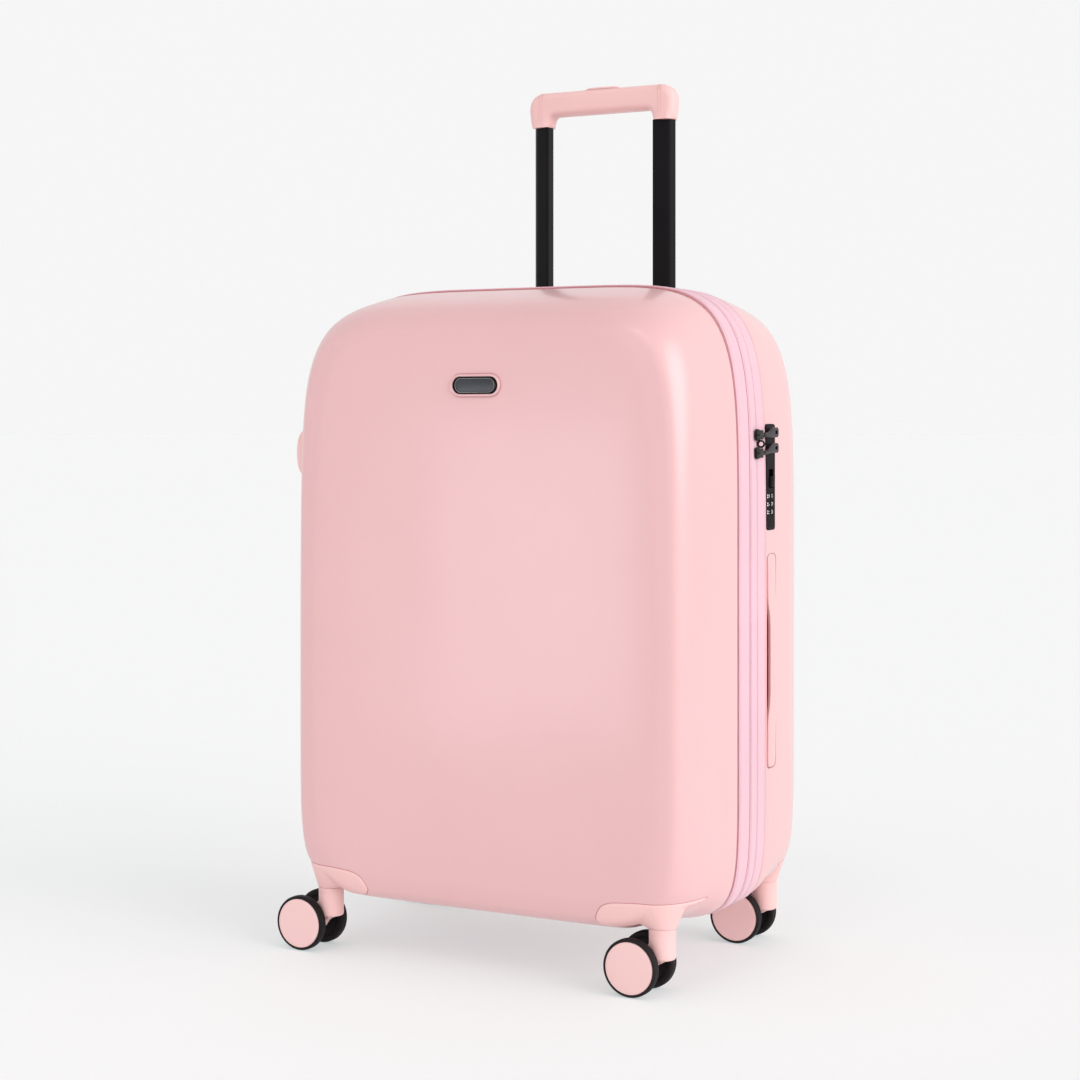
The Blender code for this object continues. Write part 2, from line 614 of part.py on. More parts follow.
def main():
    build_front_half()
    build_rear_half()
    build_handle_housing()
    build_handle()
    carry_handle("side_carry_handle", False)
    carry_handle("top_carry_handle", True)
    build_lock()
    build_slider("upper", 0.5310)
    build_slider("lower", 0.5130)
    wheel_mesh = make_wheel_mesh()
    for tag, side, depth in (("front_left", -1, -1), ("front_right", 1, -1),
                             ("rear_left", -1, 1), ("rear_right", 1, 1)):
        build_caster(tag, side, depth, wheel_mesh)


main()
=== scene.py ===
"""Looks of the hard shell suitcase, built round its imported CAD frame.

Metres, +Z up, front towards -Y, lock side towards +X.
"""
import math

import bmesh
import bpy
import numpy as np
from mathutils import Matrix, Vector, noise
from mathutils.bvhtree import BVHTree


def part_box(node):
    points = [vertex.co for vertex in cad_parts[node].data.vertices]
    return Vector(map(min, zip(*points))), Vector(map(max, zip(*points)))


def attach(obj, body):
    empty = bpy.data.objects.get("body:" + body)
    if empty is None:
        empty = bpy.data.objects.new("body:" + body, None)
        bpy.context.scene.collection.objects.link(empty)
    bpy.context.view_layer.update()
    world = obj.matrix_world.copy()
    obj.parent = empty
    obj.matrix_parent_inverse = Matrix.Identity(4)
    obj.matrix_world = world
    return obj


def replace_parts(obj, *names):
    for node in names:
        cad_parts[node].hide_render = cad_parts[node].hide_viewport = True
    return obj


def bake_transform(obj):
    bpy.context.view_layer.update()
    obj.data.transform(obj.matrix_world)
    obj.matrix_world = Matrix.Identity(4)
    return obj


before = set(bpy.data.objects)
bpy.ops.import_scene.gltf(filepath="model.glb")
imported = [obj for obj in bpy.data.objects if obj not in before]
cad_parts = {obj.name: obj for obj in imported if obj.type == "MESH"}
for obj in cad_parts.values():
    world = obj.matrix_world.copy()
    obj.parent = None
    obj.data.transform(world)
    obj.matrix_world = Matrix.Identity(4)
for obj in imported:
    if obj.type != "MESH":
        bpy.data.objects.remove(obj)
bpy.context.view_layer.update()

# ---- sections that the shells and linings follow
# Each section: (y, half width, bottom, top, corner power below, corner power above, taper).
FRONT_SKIN = (
    (-0.0453, 0.2324, 0.0594, 0.6771, 11.0, 6.2, 0.0),
    (-0.0458, 0.2334, 0.0584, 0.6781, 11.0, 6.2, 0.0),
    (-0.047, 0.2338, 0.058, 0.6784, 11.0, 6.2, 0.0),
    (-0.085, 0.2298, 0.058, 0.6718, 10.5, 6.6, 0.006),
    (-0.118, 0.2245, 0.0588, 0.6612, 10.0, 7.0, 0.01),
    (-0.135, 0.219, 0.0622, 0.65, 9.0, 7.2, 0.02),
    (-0.1435, 0.2115, 0.069, 0.6408, 8.5, 7.6, 0.035),
    (-0.1469, 0.1995, 0.0788, 0.6352, 8.1, 8.5, 0.078),
    (-0.1482, 0.1945, 0.0842, 0.6325, 8.0, 9.0, 0.09),
    (-0.1486, 0.189, 0.0895, 0.6278, 7.8, 9.0, 0.09),
    (-0.1498, 0.15, 0.14, 0.585, 6.0, 7.0, 0.08),
    (-0.1502, 0.09, 0.22, 0.51, 4.0, 4.0, 0.05),
    (-0.1503, 0.025, 0.33, 0.4, 2.5, 2.5, 0.0),
)
REAR_SKIN = (
    (0.0218, 0.2324, 0.0594, 0.6781, 11.0, 6.2, 0.0),
    (0.0223, 0.2334, 0.0584, 0.6791, 11.0, 6.2, 0.0),
    (0.0235, 0.2338, 0.058, 0.6794, 11.0, 6.2, 0.0),
    (0.085, 0.2298, 0.0582, 0.6735, 10.5, 6.2, 0.0),
    (0.115, 0.2247, 0.059, 0.667, 10.0, 6.4, 0.0),
    (0.133, 0.218, 0.062, 0.658, 9.0, 6.2, 0.0),
    (0.144, 0.2085, 0.069, 0.643, 8.0, 6.0, 0.0),
    (0.15, 0.195, 0.0815, 0.625, 7.0, 6.0, 0.0),
    (0.1508, 0.15, 0.13, 0.58, 6.0, 6.0, 0.0),
    (0.1511, 0.09, 0.2, 0.51, 4.0, 4.0, 0.0),
    (0.1511, 0.025, 0.33, 0.4, 2.5, 2.5, 0.0),
)
FRONT_LINING = (
    (-0.003, 0.2285, 0.064, 0.674, 11.0, 5.8, 0.0),
    (-0.015, 0.227, 0.09, 0.671, 11.0, 5.4, 0.0),
    (-0.09, 0.224, 0.0905, 0.664, 10.0, 5.8, 0.0),
    (-0.125, 0.215, 0.092, 0.648, 8.0, 6.2, 0.0),
    (-0.139, 0.196, 0.102, 0.627, 7.0, 6.5, 0.04),
    (-0.143, 0.15, 0.15, 0.585, 6.0, 6.0, 0.04),
    (-0.1435, 0.03, 0.32, 0.41, 2.5, 2.5, 0.0),
    (-0.1435, 0.0015, 0.3645, 0.3675, 2.5, 2.5, 0.0),
)
REAR_LINING = (
    (0.005, 0.2285, 0.064, 0.6728, 11.0, 5.8, 0.0),
    (0.018, 0.226, 0.09, 0.67, 11.0, 5.4, 0.0),
    (0.0225, 0.206, 0.092, 0.65, 11.0, 6.5, 0.0),
    (0.09, 0.203, 0.094, 0.647, 9.0, 6.5, 0.0),
    (0.101, 0.192, 0.104, 0.636, 8.0, 6.5, 0.0),
    (0.103, 0.15, 0.15, 0.59, 6.0, 6.0, 0.0),
    (0.1032, 0.03, 0.32, 0.41, 2.5, 2.5, 0.0),
    (0.1032, 0.0015, 0.3645, 0.3675, 2.5, 2.5, 0.0),
)
BAND_FORM = (0.2342, 0.0576, 0.6807, 11.0, 6.2, 0.0)
RING = 256                    # points round a fine section
BELT_RING = 320               # points round a belt or cord
SAMPLES = 1600                # points a section is measured with
MIDDLE_SHARE = 0.47           # height of a section's middle, as a share of bottom + top
SHELL_WALL = 0.0025

SWIVEL_X, SWIVEL_Y = 0.1897, 0.1219
SWIVEL_Z = 0.0643
TRAIL = 0.0238                # from the swivel line back to the axle
AXLE_Z = 0.02784              # also the radius of a wheel
WHEEL_MIDDLE = 0.0194         # middle of a wheel from the swivel line
CARRY_Z = 0.3045              # middle of the side carry handle
CARRY_HALF = 0.1071           # half its length
SIDE_X, TOP_Z = 0.234, 0.6801  # the faces that the two carry handles lie in
TRAY = (-0.0945, 0.0945, 0.107, 0.137)     # opening for the stowed grip: x, x, y, y
CORNERS = (("front_left", -1, -1), ("front_right", 1, -1), ("rear_left", -1, 1), ("rear_right", 1, 1))


# ---- materials
def add(nodes, kind, **values):
    """A shader node with its inputs linked or set, or its properties set, by name."""
    node = nodes.new("ShaderNode" + kind)
    for key, value in values.items():
        if isinstance(value, bpy.types.NodeSocket):
            node.id_data.links.new(value, node.inputs[key])
        elif key in node.inputs:
            node.inputs[key].default_value = value
        else:
            setattr(node, key, value)
    return node


def tone(nodes, factor, dark, light, low=0.3, high=0.7):
    """Two colours mixed by a grey value."""
    ramp = add(nodes, "ValToRGB", Fac=factor)
    for element, spot, colour in zip(ramp.color_ramp.elements, (low, high), (dark, light)):
        element.position = spot
        element.color = (*colour, 1)
    return ramp.outputs[0]


def shade(colour, amount):
    return tuple(min(1.0, c * amount) for c in colour)


def weave_height(nodes, coords, pitch):
    """Plain weave as a height: two crossed waves."""
    both = add(nodes, "Math", operation="MULTIPLY")
    for k, way in enumerate(("X", "Y")):
        wave = add(nodes, "TexWave", bands_direction=way, wave_profile="SIN", Vector=coords,
                   Scale=0.314 / pitch, Distortion=0.4, Detail=1.0, **{"Detail Scale": 3.0})
        both.id_data.links.new(wave.outputs["Fac"], both.inputs[k])
    return both.outputs[0]


def surface(name, colour, rough, grain, depth, metallic=0.0, coat=0.0, swing=0.05, mottle=0.04,
            cloth=0.0, wave=0.0, sheen=0.0, specular=0.5, second=None):
    """A finished material: mottled colour, uneven gloss, and grain, weave or waviness as bump."""
    mat = bpy.data.materials.new(name)
    mat.use_nodes = True
    nodes, links = mat.node_tree.nodes, mat.node_tree.links
    shader = nodes["Principled BSDF"]
    settings = {"Metallic": metallic, "Coat Weight": coat, "Coat Roughness": 0.12,
                "Specular IOR Level": specular, "Sheen Weight": sheen, "Sheen Roughness": 0.5}
    for key, value in settings.items():
        shader.inputs[key].default_value = value
    place = add(nodes, "TexCoord").outputs["Object"]

    def speckle(scale, detail, breakup):
        return add(nodes, "TexNoise", Vector=place, Scale=scale, Detail=detail,
                   Roughness=breakup).outputs["Fac"]
    base = tone(nodes, speckle(7.0, 3.0, 0.55), shade(colour, 1 - mottle),
                second or shade(colour, 1 + mottle))
    height = speckle(grain, 2.0, 0.6)
    if cloth:
        height = weave_height(nodes, add(nodes, "UVMap").outputs["UV"], cloth)
        grey = tone(nodes, height, (0.62, 0.62, 0.62), (1, 1, 1), 0.0, 0.6)
        base = add(nodes, "MixRGB", blend_type="MULTIPLY", Fac=0.35, Color1=base, Color2=grey).outputs[0]
    links.new(base, shader.inputs["Base Color"])
    spread = add(nodes, "MapRange", Value=speckle(30.0, 4.0, 0.6),
                 **{"To Min": max(0.02, rough - swing), "To Max": min(1.0, rough + swing)})
    links.new(spread.outputs[0], shader.inputs["Roughness"])
    bump = add(nodes, "Bump", Strength=1.0, Distance=depth, Height=height)
    if wave:
        under = add(nodes, "Bump", Strength=1.0, Distance=wave, Height=speckle(9.0, 1.0, 0.5))
        links.new(under.outputs[0], bump.inputs["Normal"])
    links.new(bump.outputs[0], shader.inputs["Normal"])
    return mat


PINK = (0.728, 0.428, 0.434)
SHELL = surface("shell_gloss", PINK, 0.32, 900, 0.00002, coat=0.34, swing=0.04, mottle=0.012, wave=0.001,
                second=(0.733, 0.433, 0.443))
TRIM = surface("trim_moulded", (0.82, 0.505, 0.49), 0.42, 1600, 0.00003, swing=0.05, mottle=0.02)
CAP = surface("cap_moulded", (0.81, 0.53, 0.515), 0.5, 1400, 0.00003, swing=0.05, mottle=0.02)
FAINT = surface("joint_line", (0.66, 0.36, 0.355), 0.6, 1500, 0.00003, mottle=0.05, specular=0.3)
# Dark pink for thin lines in grooves and along joints: painted shadow lines.
GROOVE_SHADOW = surface("joint_shadow", (0.5, 0.2, 0.21), 0.7, 1500, 0.00003, mottle=0.05, specular=0.2)
# Dark saturated red: painted shade for the inside of the carry recesses and for the strips at their slots.
HOLLOW_SHADE = surface("recess_painted_shade", (0.78, 0.14, 0.15), 0.6, 1500, 0.00003, mottle=0.05, specular=0.2)
# Dark mauve for lines in the band's seams and zip: painted shadow lines.
SEAM_SHADOW = surface("seam_shadow", (0.5, 0.22, 0.29), 0.8, 1500, 0.00003, mottle=0.05, specular=0.2)
BAND = surface("band_weave", (0.77, 0.49, 0.56), 0.75, 1200, 0.0001, cloth=0.0011, swing=0.08,
               mottle=0.03, sheen=0.15)
THREAD = surface("thread", (0.72, 0.415, 0.47), 0.7, 2500, 0.00005, mottle=0.08)
TOOTH = surface("zip_coil", (0.72, 0.4, 0.43), 0.4, 1800, 0.00003, mottle=0.05)
LINING = surface("lining_cloth", (0.4, 0.36, 0.37), 0.85, 900, 0.00012, cloth=0.0012, swing=0.06,
                 mottle=0.08, wave=0.01, sheen=0.2)
WEBBING = surface("webbing", (0.3, 0.26, 0.27), 0.8, 900, 0.00016, cloth=0.0016, swing=0.06, mottle=0.06,
                  sheen=0.2)
TUBE = surface("tube_anodised", (0.006, 0.005, 0.006), 0.3, 1500, 0.00001, swing=0.05, mottle=0.25,
               specular=0.08)
STEEL = surface("steel_drawn", (0.55, 0.55, 0.56), 0.3, 800, 0.00002, metallic=1.0, swing=0.1, mottle=0.08)
TYRE = surface("tyre_rubber", (0.01, 0.007, 0.008), 0.62, 1100, 0.00005, swing=0.1, mottle=0.35,
               specular=0.18)
LOCK = surface("lock_moulded", (0.007, 0.0045, 0.0055), 0.5, 1500, 0.00005, swing=0.08, mottle=0.2,
               specular=0.07)
SLIDER = surface("slider_black_nickel", (0.006, 0.004, 0.005), 0.14, 900, 0.00003, swing=0.1, mottle=0.3,
                 specular=0.16)
CHROME = surface("slider_dark_chrome", (0.045, 0.034, 0.039), 0.22, 900, 0.00003, metallic=0.7, swing=0.1,
                 mottle=0.3, specular=0.3)
DIAL = surface("dial_moulded", (0.008, 0.006, 0.008), 0.45, 1500, 0.00003, swing=0.08, mottle=0.2,
               specular=0.12)
DIGIT = surface("digit_paint", (0.95, 0.95, 0.95), 0.5, 2000, 0.00001, mottle=0.04)
BADGE = surface("badge_plate_metal", (0.04, 0.042, 0.048), 0.28, 700, 0.00002, metallic=0.5, swing=0.08,
                mottle=0.25)


# ---- mesh helpers
def placed(name, data):
    """A new object in the scene."""
    obj = bpy.data.objects.new(name, data)
    bpy.context.scene.collection.objects.link(obj)
    return obj


def piece(name, form, mat=None, body=None, angle=40, instead=None):
    """A mesh object in place, smooth shaded, on its body, instead of a CAD node."""
    points, faces = form
    mesh = bpy.data.meshes.new(name)
    mesh.from_pydata([tuple(map(float, p)) for p in points], [], faces)
    mesh.validate()
    bm = bmesh.new()
    bm.from_mesh(mesh)
    bmesh.ops.recalc_face_normals(bm, faces=bm.faces)
    bm.to_mesh(mesh)
    bm.free()
    obj = placed(name, mesh)
    mesh.shade_smooth()
    mesh.set_sharp_from_angle(angle=math.radians(angle))
    if mat:
        mesh.materials.append(mat)
    if body:
        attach(obj, body)
    if instead:
        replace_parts(obj, instead)
    return obj


def apply_modifiers(obj, angle=40):
    """Bake the modifiers into the mesh."""
    bpy.context.view_layer.update()
    graph = bpy.context.evaluated_depsgraph_get()
    mesh = bpy.data.meshes.new_from_object(obj.evaluated_get(graph))
    obj.modifiers.clear()
    obj.data = mesh
    mesh.shade_smooth()
    mesh.set_sharp_from_angle(angle=math.radians(angle))
    return obj


def round_edges(obj, width, segments=3, angle=30):
    mod = obj.modifiers.new("round", "BEVEL")
    mod.width = width
    mod.segments = segments
    mod.limit_method = "ANGLE"
    mod.angle_limit = math.radians(angle)
    return apply_modifiers(obj)


def carve(obj, cutters, angle=40):
    """Cut throwaway objects out of another one."""
    for cutter in cutters:
        mod = obj.modifiers.new("carve", "BOOLEAN")
        mod.operation = "DIFFERENCE"
        mod.solver = "EXACT"
        mod.object = cutter
    apply_modifiers(obj, angle)
    for cutter in cutters:
        bpy.data.objects.remove(cutter)
    return obj


def remesh(obj, voxel, rounds):
    """Fuse overlapping closed forms into one soft-edged moulding."""
    mod = obj.modifiers.new("fuse", "REMESH")
    mod.mode = "VOXEL"
    mod.voxel_size = voxel
    mod = obj.modifiers.new("relax", "SMOOTH")
    mod.factor = 0.5
    mod.iterations = rounds
    return apply_modifiers(obj, 60)


def stitched(groups):
    """One point and face list from several."""
    points, faces = [], []
    for group_points, group_faces in groups:
        start = len(points)
        points.extend(group_points)
        faces.extend([tuple(i + start for i in face) for face in group_faces])
    return points, faces


def rings_mesh(rings, cap_start=False, cap_end=False, close_path=False):
    """Faces between equal rings of points."""
    count = len(rings[0])
    points = [p for ring in rings for p in ring]
    faces = []
    total = len(rings)
    for i in range(total if close_path else total - 1):
        a, b = i * count, ((i + 1) % total) * count
        for k in range(count):
            n = (k + 1) % count
            faces.append((a + k, a + n, b + n, b + k))
    if cap_start:
        faces.append(tuple(range(count)))
    if cap_end:
        faces.append(tuple(range((total - 1) * count, total * count)))
    return points, faces


def capped(rings):
    """A closed form: rings of points with a face over each end."""
    return rings_mesh(rings, cap_start=True, cap_end=True)


def circle(steps):
    """Cosine and sine of even steps round a turn."""
    return [(math.cos(a), math.sin(a)) for a in (2 * math.pi * k / steps for k in range(steps))]


def lathe(profile, centre, axis, steps=64):
    """(radius, height) points turned about an axis through a point."""
    turn = Vector((0, 0, 1)).rotation_difference(Vector(axis)).to_matrix()
    return rings_mesh([[turn @ Vector((radius * c, radius * s, height)) + Vector(centre)
                        for c, s in circle(steps)] for radius, height in profile])


def rounded(corners, radius, steps=6):
    """A closed outline with arcs at its corners."""
    points, count = [], len(corners)
    for i in range(count):
        here = Vector(corners[i])
        before = Vector(corners[i - 1]) - here
        after = Vector(corners[(i + 1) % count]) - here
        reach = min(radius, before.length * 0.48, after.length * 0.48)
        start = here + before.normalized() * reach
        end = here + after.normalized() * reach
        for k in range(steps + 1):
            t = k / steps
            points.append(start * (1 - t) ** 2 + here * 2 * t * (1 - t) + end * t ** 2)
    return [(p.x, p.y) for p in points]


def rectangle(a, b, low, high):
    return [(a, low), (b, low), (b, high), (a, high)]


LIFT = {"X": lambda a, b, h: (h, a, b), "Y": lambda a, b, h: (a, h, b), "Z": lambda a, b, h: (a, b, h)}


def prism(outline, axis, low, high):
    """Points and faces of an outline extruded along an axis."""
    rings = [[LIFT[axis](a, b, h) for a, b in outline] for h in (low, high)]
    return capped(rings)


def tube_mesh(path, radius, closed=False, sides=8):
    """A round wire along a path."""
    path = [Vector(p) for p in path]
    count = len(path)
    rings, side = [], None
    for i, here in enumerate(path):
        ahead = path[(i + 1) % count] if closed or i + 1 < count else here
        behind = path[i - 1] if closed or i > 0 else here
        along = (ahead - behind).normalized()
        if side is None:
            side = along.orthogonal().normalized()
        side = (side - along * side.dot(along)).normalized()
        up = along.cross(side)
        rings.append([here + (side * c + up * s) * radius for c, s in circle(sides)])
    return rings_mesh(rings, cap_start=not closed, cap_end=not closed, close_path=closed)


def smooth_step(low, high, value):
    t = np.clip((value - low) / (high - low), 0.0, 1.0)
    return t * t * (3 - 2 * t)


def curve_through(xs, ys, at):
    """Smooth curve through points that doesn't overshoot between them."""
    xs, ys, at = (np.asarray(v, float) for v in (xs, ys, at))
    step = np.diff(xs)
    slope = np.diff(ys) / step
    lean = np.zeros_like(ys)
    lean[0], lean[-1] = slope[0], slope[-1]
    for i in range(1, len(xs) - 1):
        if slope[i - 1] * slope[i] > 0:
            one, two = 2 * step[i] + step[i - 1], step[i] + 2 * step[i - 1]
            lean[i] = (one + two) / (one / slope[i - 1] + two / slope[i])
    k = np.clip(np.searchsorted(xs, at, side="right") - 1, 0, len(step) - 1)
    t = (at - xs[k]) / step[k]
    return ((1 + 2 * t) * (1 - t) ** 2 * ys[k] + t * (1 - t) ** 2 * step[k] * lean[k]
            + t * t * (3 - 2 * t) * ys[k + 1] + t * t * (t - 1) * step[k] * lean[k + 1])


def curves(table, count):
    """Each column of a table as a smooth curve of so many points."""
    knots = np.arange(len(table))
    return [curve_through(knots, column, np.linspace(0, knots[-1], count)) for column in np.array(table).T]


def run_length(points):
    """How far a line of points has run at each of them."""
    steps = np.diff(np.asarray(points, float), axis=0)
    gaps = np.hypot(*steps.T) if steps.shape[1] == 2 else np.linalg.norm(steps, axis=1)
    return np.concatenate(([0], np.cumsum(gaps)))


def outline(half_width, bottom, top, low, high, taper, grow=0.0, count=RING):
    """(x, z) points evenly spaced round a case section."""
    middle = (bottom + top) * MIDDLE_SHARE
    turn = np.linspace(0, 2 * np.pi, SAMPLES + 1)
    c, s = np.cos(turn), np.sin(turn)
    power = np.where(s > 0, high, low)
    reach = (np.abs(c) ** power + np.abs(s) ** power) ** (-1 / power)
    x, rise = reach * c, reach * s
    x = x * np.where(rise > 0, 1 - taper * rise * rise, 1.0) * (half_width + grow)
    z = middle + np.where(rise > 0, top - middle + grow, middle - bottom + grow) * rise
    plan, result = np.stack([x, z], 1), []
    eighth = SAMPLES // 8
    for part in range(0, SAMPLES, eighth):
        stretch = plan[part:part + eighth + 1]
        far = run_length(stretch)
        want = np.linspace(0, far[-1], count // 8 + 1)[:-1]
        result.append(np.stack([np.interp(want, far, column) for column in stretch.T], 1))
    return np.concatenate(result)


def level_ring(plan, y):
    """An (x, z) outline as points at one y."""
    return np.stack([plan[:, 0], np.full(len(plan), y), plan[:, 1]], 1)


def skin_rings(sections, steps):
    """Fine rings of points on the smooth form through the sections."""
    table = np.array(sections, float)
    far, fine = run_length(table[:, :2]), []
    for i, length in enumerate(np.diff(far)):
        n = max(1, min(steps, int(round(length / 0.004))))
        fine.extend(np.linspace(far[i], far[i + 1], n + 1)[:-1])
    fine.append(far[-1])
    columns = [curve_through(far, table[:, k], np.array(fine)) for k in range(7)]
    return np.array([level_ring(outline(*form), y) for y, *form in zip(*columns)])


def raise_bottom(rings, rim):
    """The underside's corners moulded higher, to leave room over the casters."""
    x, y, z = np.abs(rings[..., 0]), np.abs(rings[..., 1]), rings[..., 2]
    low = smooth_step(0.112, 0.07, z)
    inward = smooth_step(abs(rim) + 0.006, abs(rim) + 0.045, y)
    corner = smooth_step(0.15, 0.186, x) * 0.0062
    rings[..., 2] = z + corner * low * inward
    return rings


def uv_parts(obj):
    """A new UV layer, the points, and the point at each corner."""
    mesh = obj.data
    spots = np.array([v.co for v in mesh.vertices], float)
    return mesh.uv_layers.new(name="UVMap"), spots, np.array([loop.vertex_index for loop in mesh.loops])


def add_uv(obj, across, count):
    """UV in metres: along the outline, and across it by a point's row."""
    layer, spots, corners = uv_parts(obj)
    along = np.concatenate([run_length(ring) for ring in spots.reshape(-1, count, 3)])
    uv = np.stack([along[corners], np.repeat(across, count)[corners]], 1)
    for face in obj.data.polygons:
        span = [uv[i, 0] for i in face.loop_indices]
        if max(span) - min(span) > 0.5:
            for i in face.loop_indices:
                if uv[i, 0] < 0.5:
                    uv[i, 0] += max(span) + 0.008
    layer.data.foreach_set("uv", uv.ravel())


# ---- the two shells
FRONT_RINGS = raise_bottom(skin_rings(FRONT_SKIN, 7), -0.047)
REAR_RINGS = raise_bottom(skin_rings(REAR_SKIN, 7), 0.0235)


def outer_tree(rings):
    points, faces = rings_mesh(list(rings), cap_end=True)
    return BVHTree.FromPolygons([Vector(p) for p in points], faces)


def shell_piece(name, rings, body):
    """A moulded half with an even wall."""
    obj = piece(name, rings_mesh(list(rings), cap_end=True), SHELL, body, 50)
    facing = sum(p.normal.y * p.area for p in obj.data.polygons) * rings[-1][0][1]
    if facing < 0:
        obj.data.flip_normals()
    mod = obj.modifiers.new("wall", "SOLIDIFY")
    mod.thickness = SHELL_WALL
    mod.offset = -1.0
    return apply_modifiers(obj, 50)


def cutter(outline_points, axis, low, high):
    return piece("cutter", prism(outline_points, axis, low, high))


def carry_plan(grow):
    """(y, z) outline of the side recess."""
    return rounded(rectangle(0.025 - grow, 0.0514 + grow, 0.197 - grow, 0.412 + grow), 0.008 + grow)


def to_top(obj):
    """Carry a piece made for the side recess to the top one."""
    turn = Matrix.Rotation(-math.pi / 2, 4, "Y")
    back = Matrix.Translation((0, 0, TOP_Z)) @ turn @ Matrix.Translation((-SIDE_X, 0, -CARRY_Z))
    obj.data.transform(back)
    return obj


front_shell = shell_piece("front_shell_skin", FRONT_RINGS, "front_half")
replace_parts(front_shell, "front_shell")
rear_shell = shell_piece("rear_shell_skin", REAR_RINGS, "rear_half")
carve(rear_shell, [
    cutter(carry_plan(0.0), "X", 0.22, 0.25),
    to_top(cutter(carry_plan(0.0), "X", 0.22, 0.25)),
    cutter(rounded(rectangle(*TRAY), 0.008), "Z", 0.64, 0.7),
    cutter(rounded(rectangle(0.0243, 0.0467, 0.4353, 0.5417), 0.0036), "X", 0.22, 0.25)], angle=50)
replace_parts(rear_shell, "rear_shell")
FRONT_TREE, REAR_TREE = outer_tree(FRONT_RINGS), outer_tree(REAR_RINGS)


def cup(name, rim, floor, wall=0.0012, soft=0.004):
    """A moulded tray below a carry handle: straight walls, a soft corner and a floor, with thickness. It is
    coloured with painted shade of the deep recess.
    """
    levels = [(rim, 0.0), (floor + soft, 0.0)]
    for k in range(1, 5):
        a = math.pi / 2 * k / 4
        levels.append((floor + soft * (1 - math.sin(a)), -soft * (1 - math.cos(a))))
    rings = [[(x, y, z) for y, z in carry_plan(inset)] for x, inset in levels]
    rings += [[(x - wall, y, z) for y, z in carry_plan(inset + wall)] for x, inset in reversed(levels)]
    points, faces = rings_mesh(rings)
    count = len(rings[0])
    middle = len(levels)
    faces = [f for f in faces if not (min(f) // count == middle - 1 and max(f) // count == middle)]
    faces.append(tuple(range((middle - 1) * count, middle * count)))
    faces.append(tuple(range(middle * count, (middle + 1) * count)))
    return piece(name, (points, faces), HOLLOW_SHADE, "rear_half", 50)


# Both trays wear painted shade: their dark red stands in for the shadow deep in the recesses.
cup("side_carry_tray_painted_shade", 0.2313, 0.2135)
to_top(cup("top_carry_tray_painted_shade", 0.2322, 0.2135))


# ---- bands, zip and seams
FRONT_BAND = ((-0.0454, -0.0046), (-0.0452, -0.004), (-0.0432, -0.0034), (-0.0428, -0.0008),
              (-0.0416, 0.0004), (-0.036, 0.0007), (-0.029, 0.0007), (-0.022, 0.0005),
              (-0.0185, 0.0001), (-0.0172, -0.0006), (-0.0167, -0.0013), (-0.0162, -0.0006),
              (-0.015, 0.0001), (-0.012, 0.0005), (-0.007, 0.0006), (-0.0025, 0.0004),
              (0.0, 0.0), (0.0008, -0.0006), (0.001, -0.0014), (0.0006, -0.0022),
              (-0.01, -0.003), (-0.044, -0.004))
REAR_BAND = ((0.002, -0.0022), (0.0016, -0.0014), (0.0019, -0.0006), (0.0028, 0.0), (0.005, 0.0004),
             (0.009, 0.0006), (0.014, 0.0006), (0.018, 0.0004), (0.0203, 0.0), (0.0214, -0.0008),
             (0.0218, -0.0018), (0.0218, -0.004), (0.01, -0.0036))


def belt(name, profile, mat, body, node=None):
    """A woven strip round the case with a sewn profile."""
    rings = [level_ring(outline(*BAND_FORM, grow=offset, count=BELT_RING), y) for y, offset in profile]
    obj = piece(name, rings_mesh(rings, close_path=True), mat, body, 60, instead=node)
    add_uv(obj, run_length(profile), BELT_RING)


belt("front_band_cloth", FRONT_BAND, BAND, "front_half", "front_band")
belt("rear_band_cloth", REAR_BAND, BAND, "rear_half", "rear_band")


def cord(name, y, offset, radius, mat, body):
    """A fine line that runs round the case in a seam."""
    plan = outline(*BAND_FORM, grow=offset, count=BELT_RING)
    form = tube_mesh([(x, y, z) for x, z in plan], radius, closed=True, sides=6)
    piece(name, form, mat, body)


# The groove, seam and zip lines are painted shadow lines; the piping and rib lines are thread.
for line in (("front_rim_groove_shadow", -0.0441, -0.002, 0.0012, GROOVE_SHADOW, "front_half"),
             ("front_rim_piping", -0.0426, -0.0004, 0.0005, THREAD, "front_half"),
             ("front_seam_shadow_line", -0.0167, -0.0006, 0.0007, SEAM_SHADOW, "front_half"),
             ("front_rib_line", -0.03, 0.0003, 0.0005, THREAD, "front_half"),
             ("rear_zip_shadow", 0.0016, -0.0012, 0.0008, SEAM_SHADOW, "rear_half"),
             ("rear_seam_shadow_line", 0.0213, -0.001, 0.0005, SEAM_SHADOW, "rear_half")):
    cord(*line)


def along_case(offset, pitch):
    """(point, direction, outward) every pitch round the case."""
    plan = outline(*BAND_FORM, grow=offset, count=SAMPLES)
    closed = np.vstack([plan, plan[:1]])
    far = run_length(closed)
    number = int(far[-1] / pitch)
    want = np.arange(number) * far[-1] / number
    xs, zs = np.interp(want, far, closed[:, 0]), np.interp(want, far, closed[:, 1])
    spots = []
    for k in range(number):
        n = (k + 1) % number
        way = Vector((xs[n] - xs[k - 1], 0, zs[n] - zs[k - 1])).normalized()
        spots.append((Vector((xs[k], 0, zs[k])), way, Vector((way.z, 0, -way.x))))
    return spots


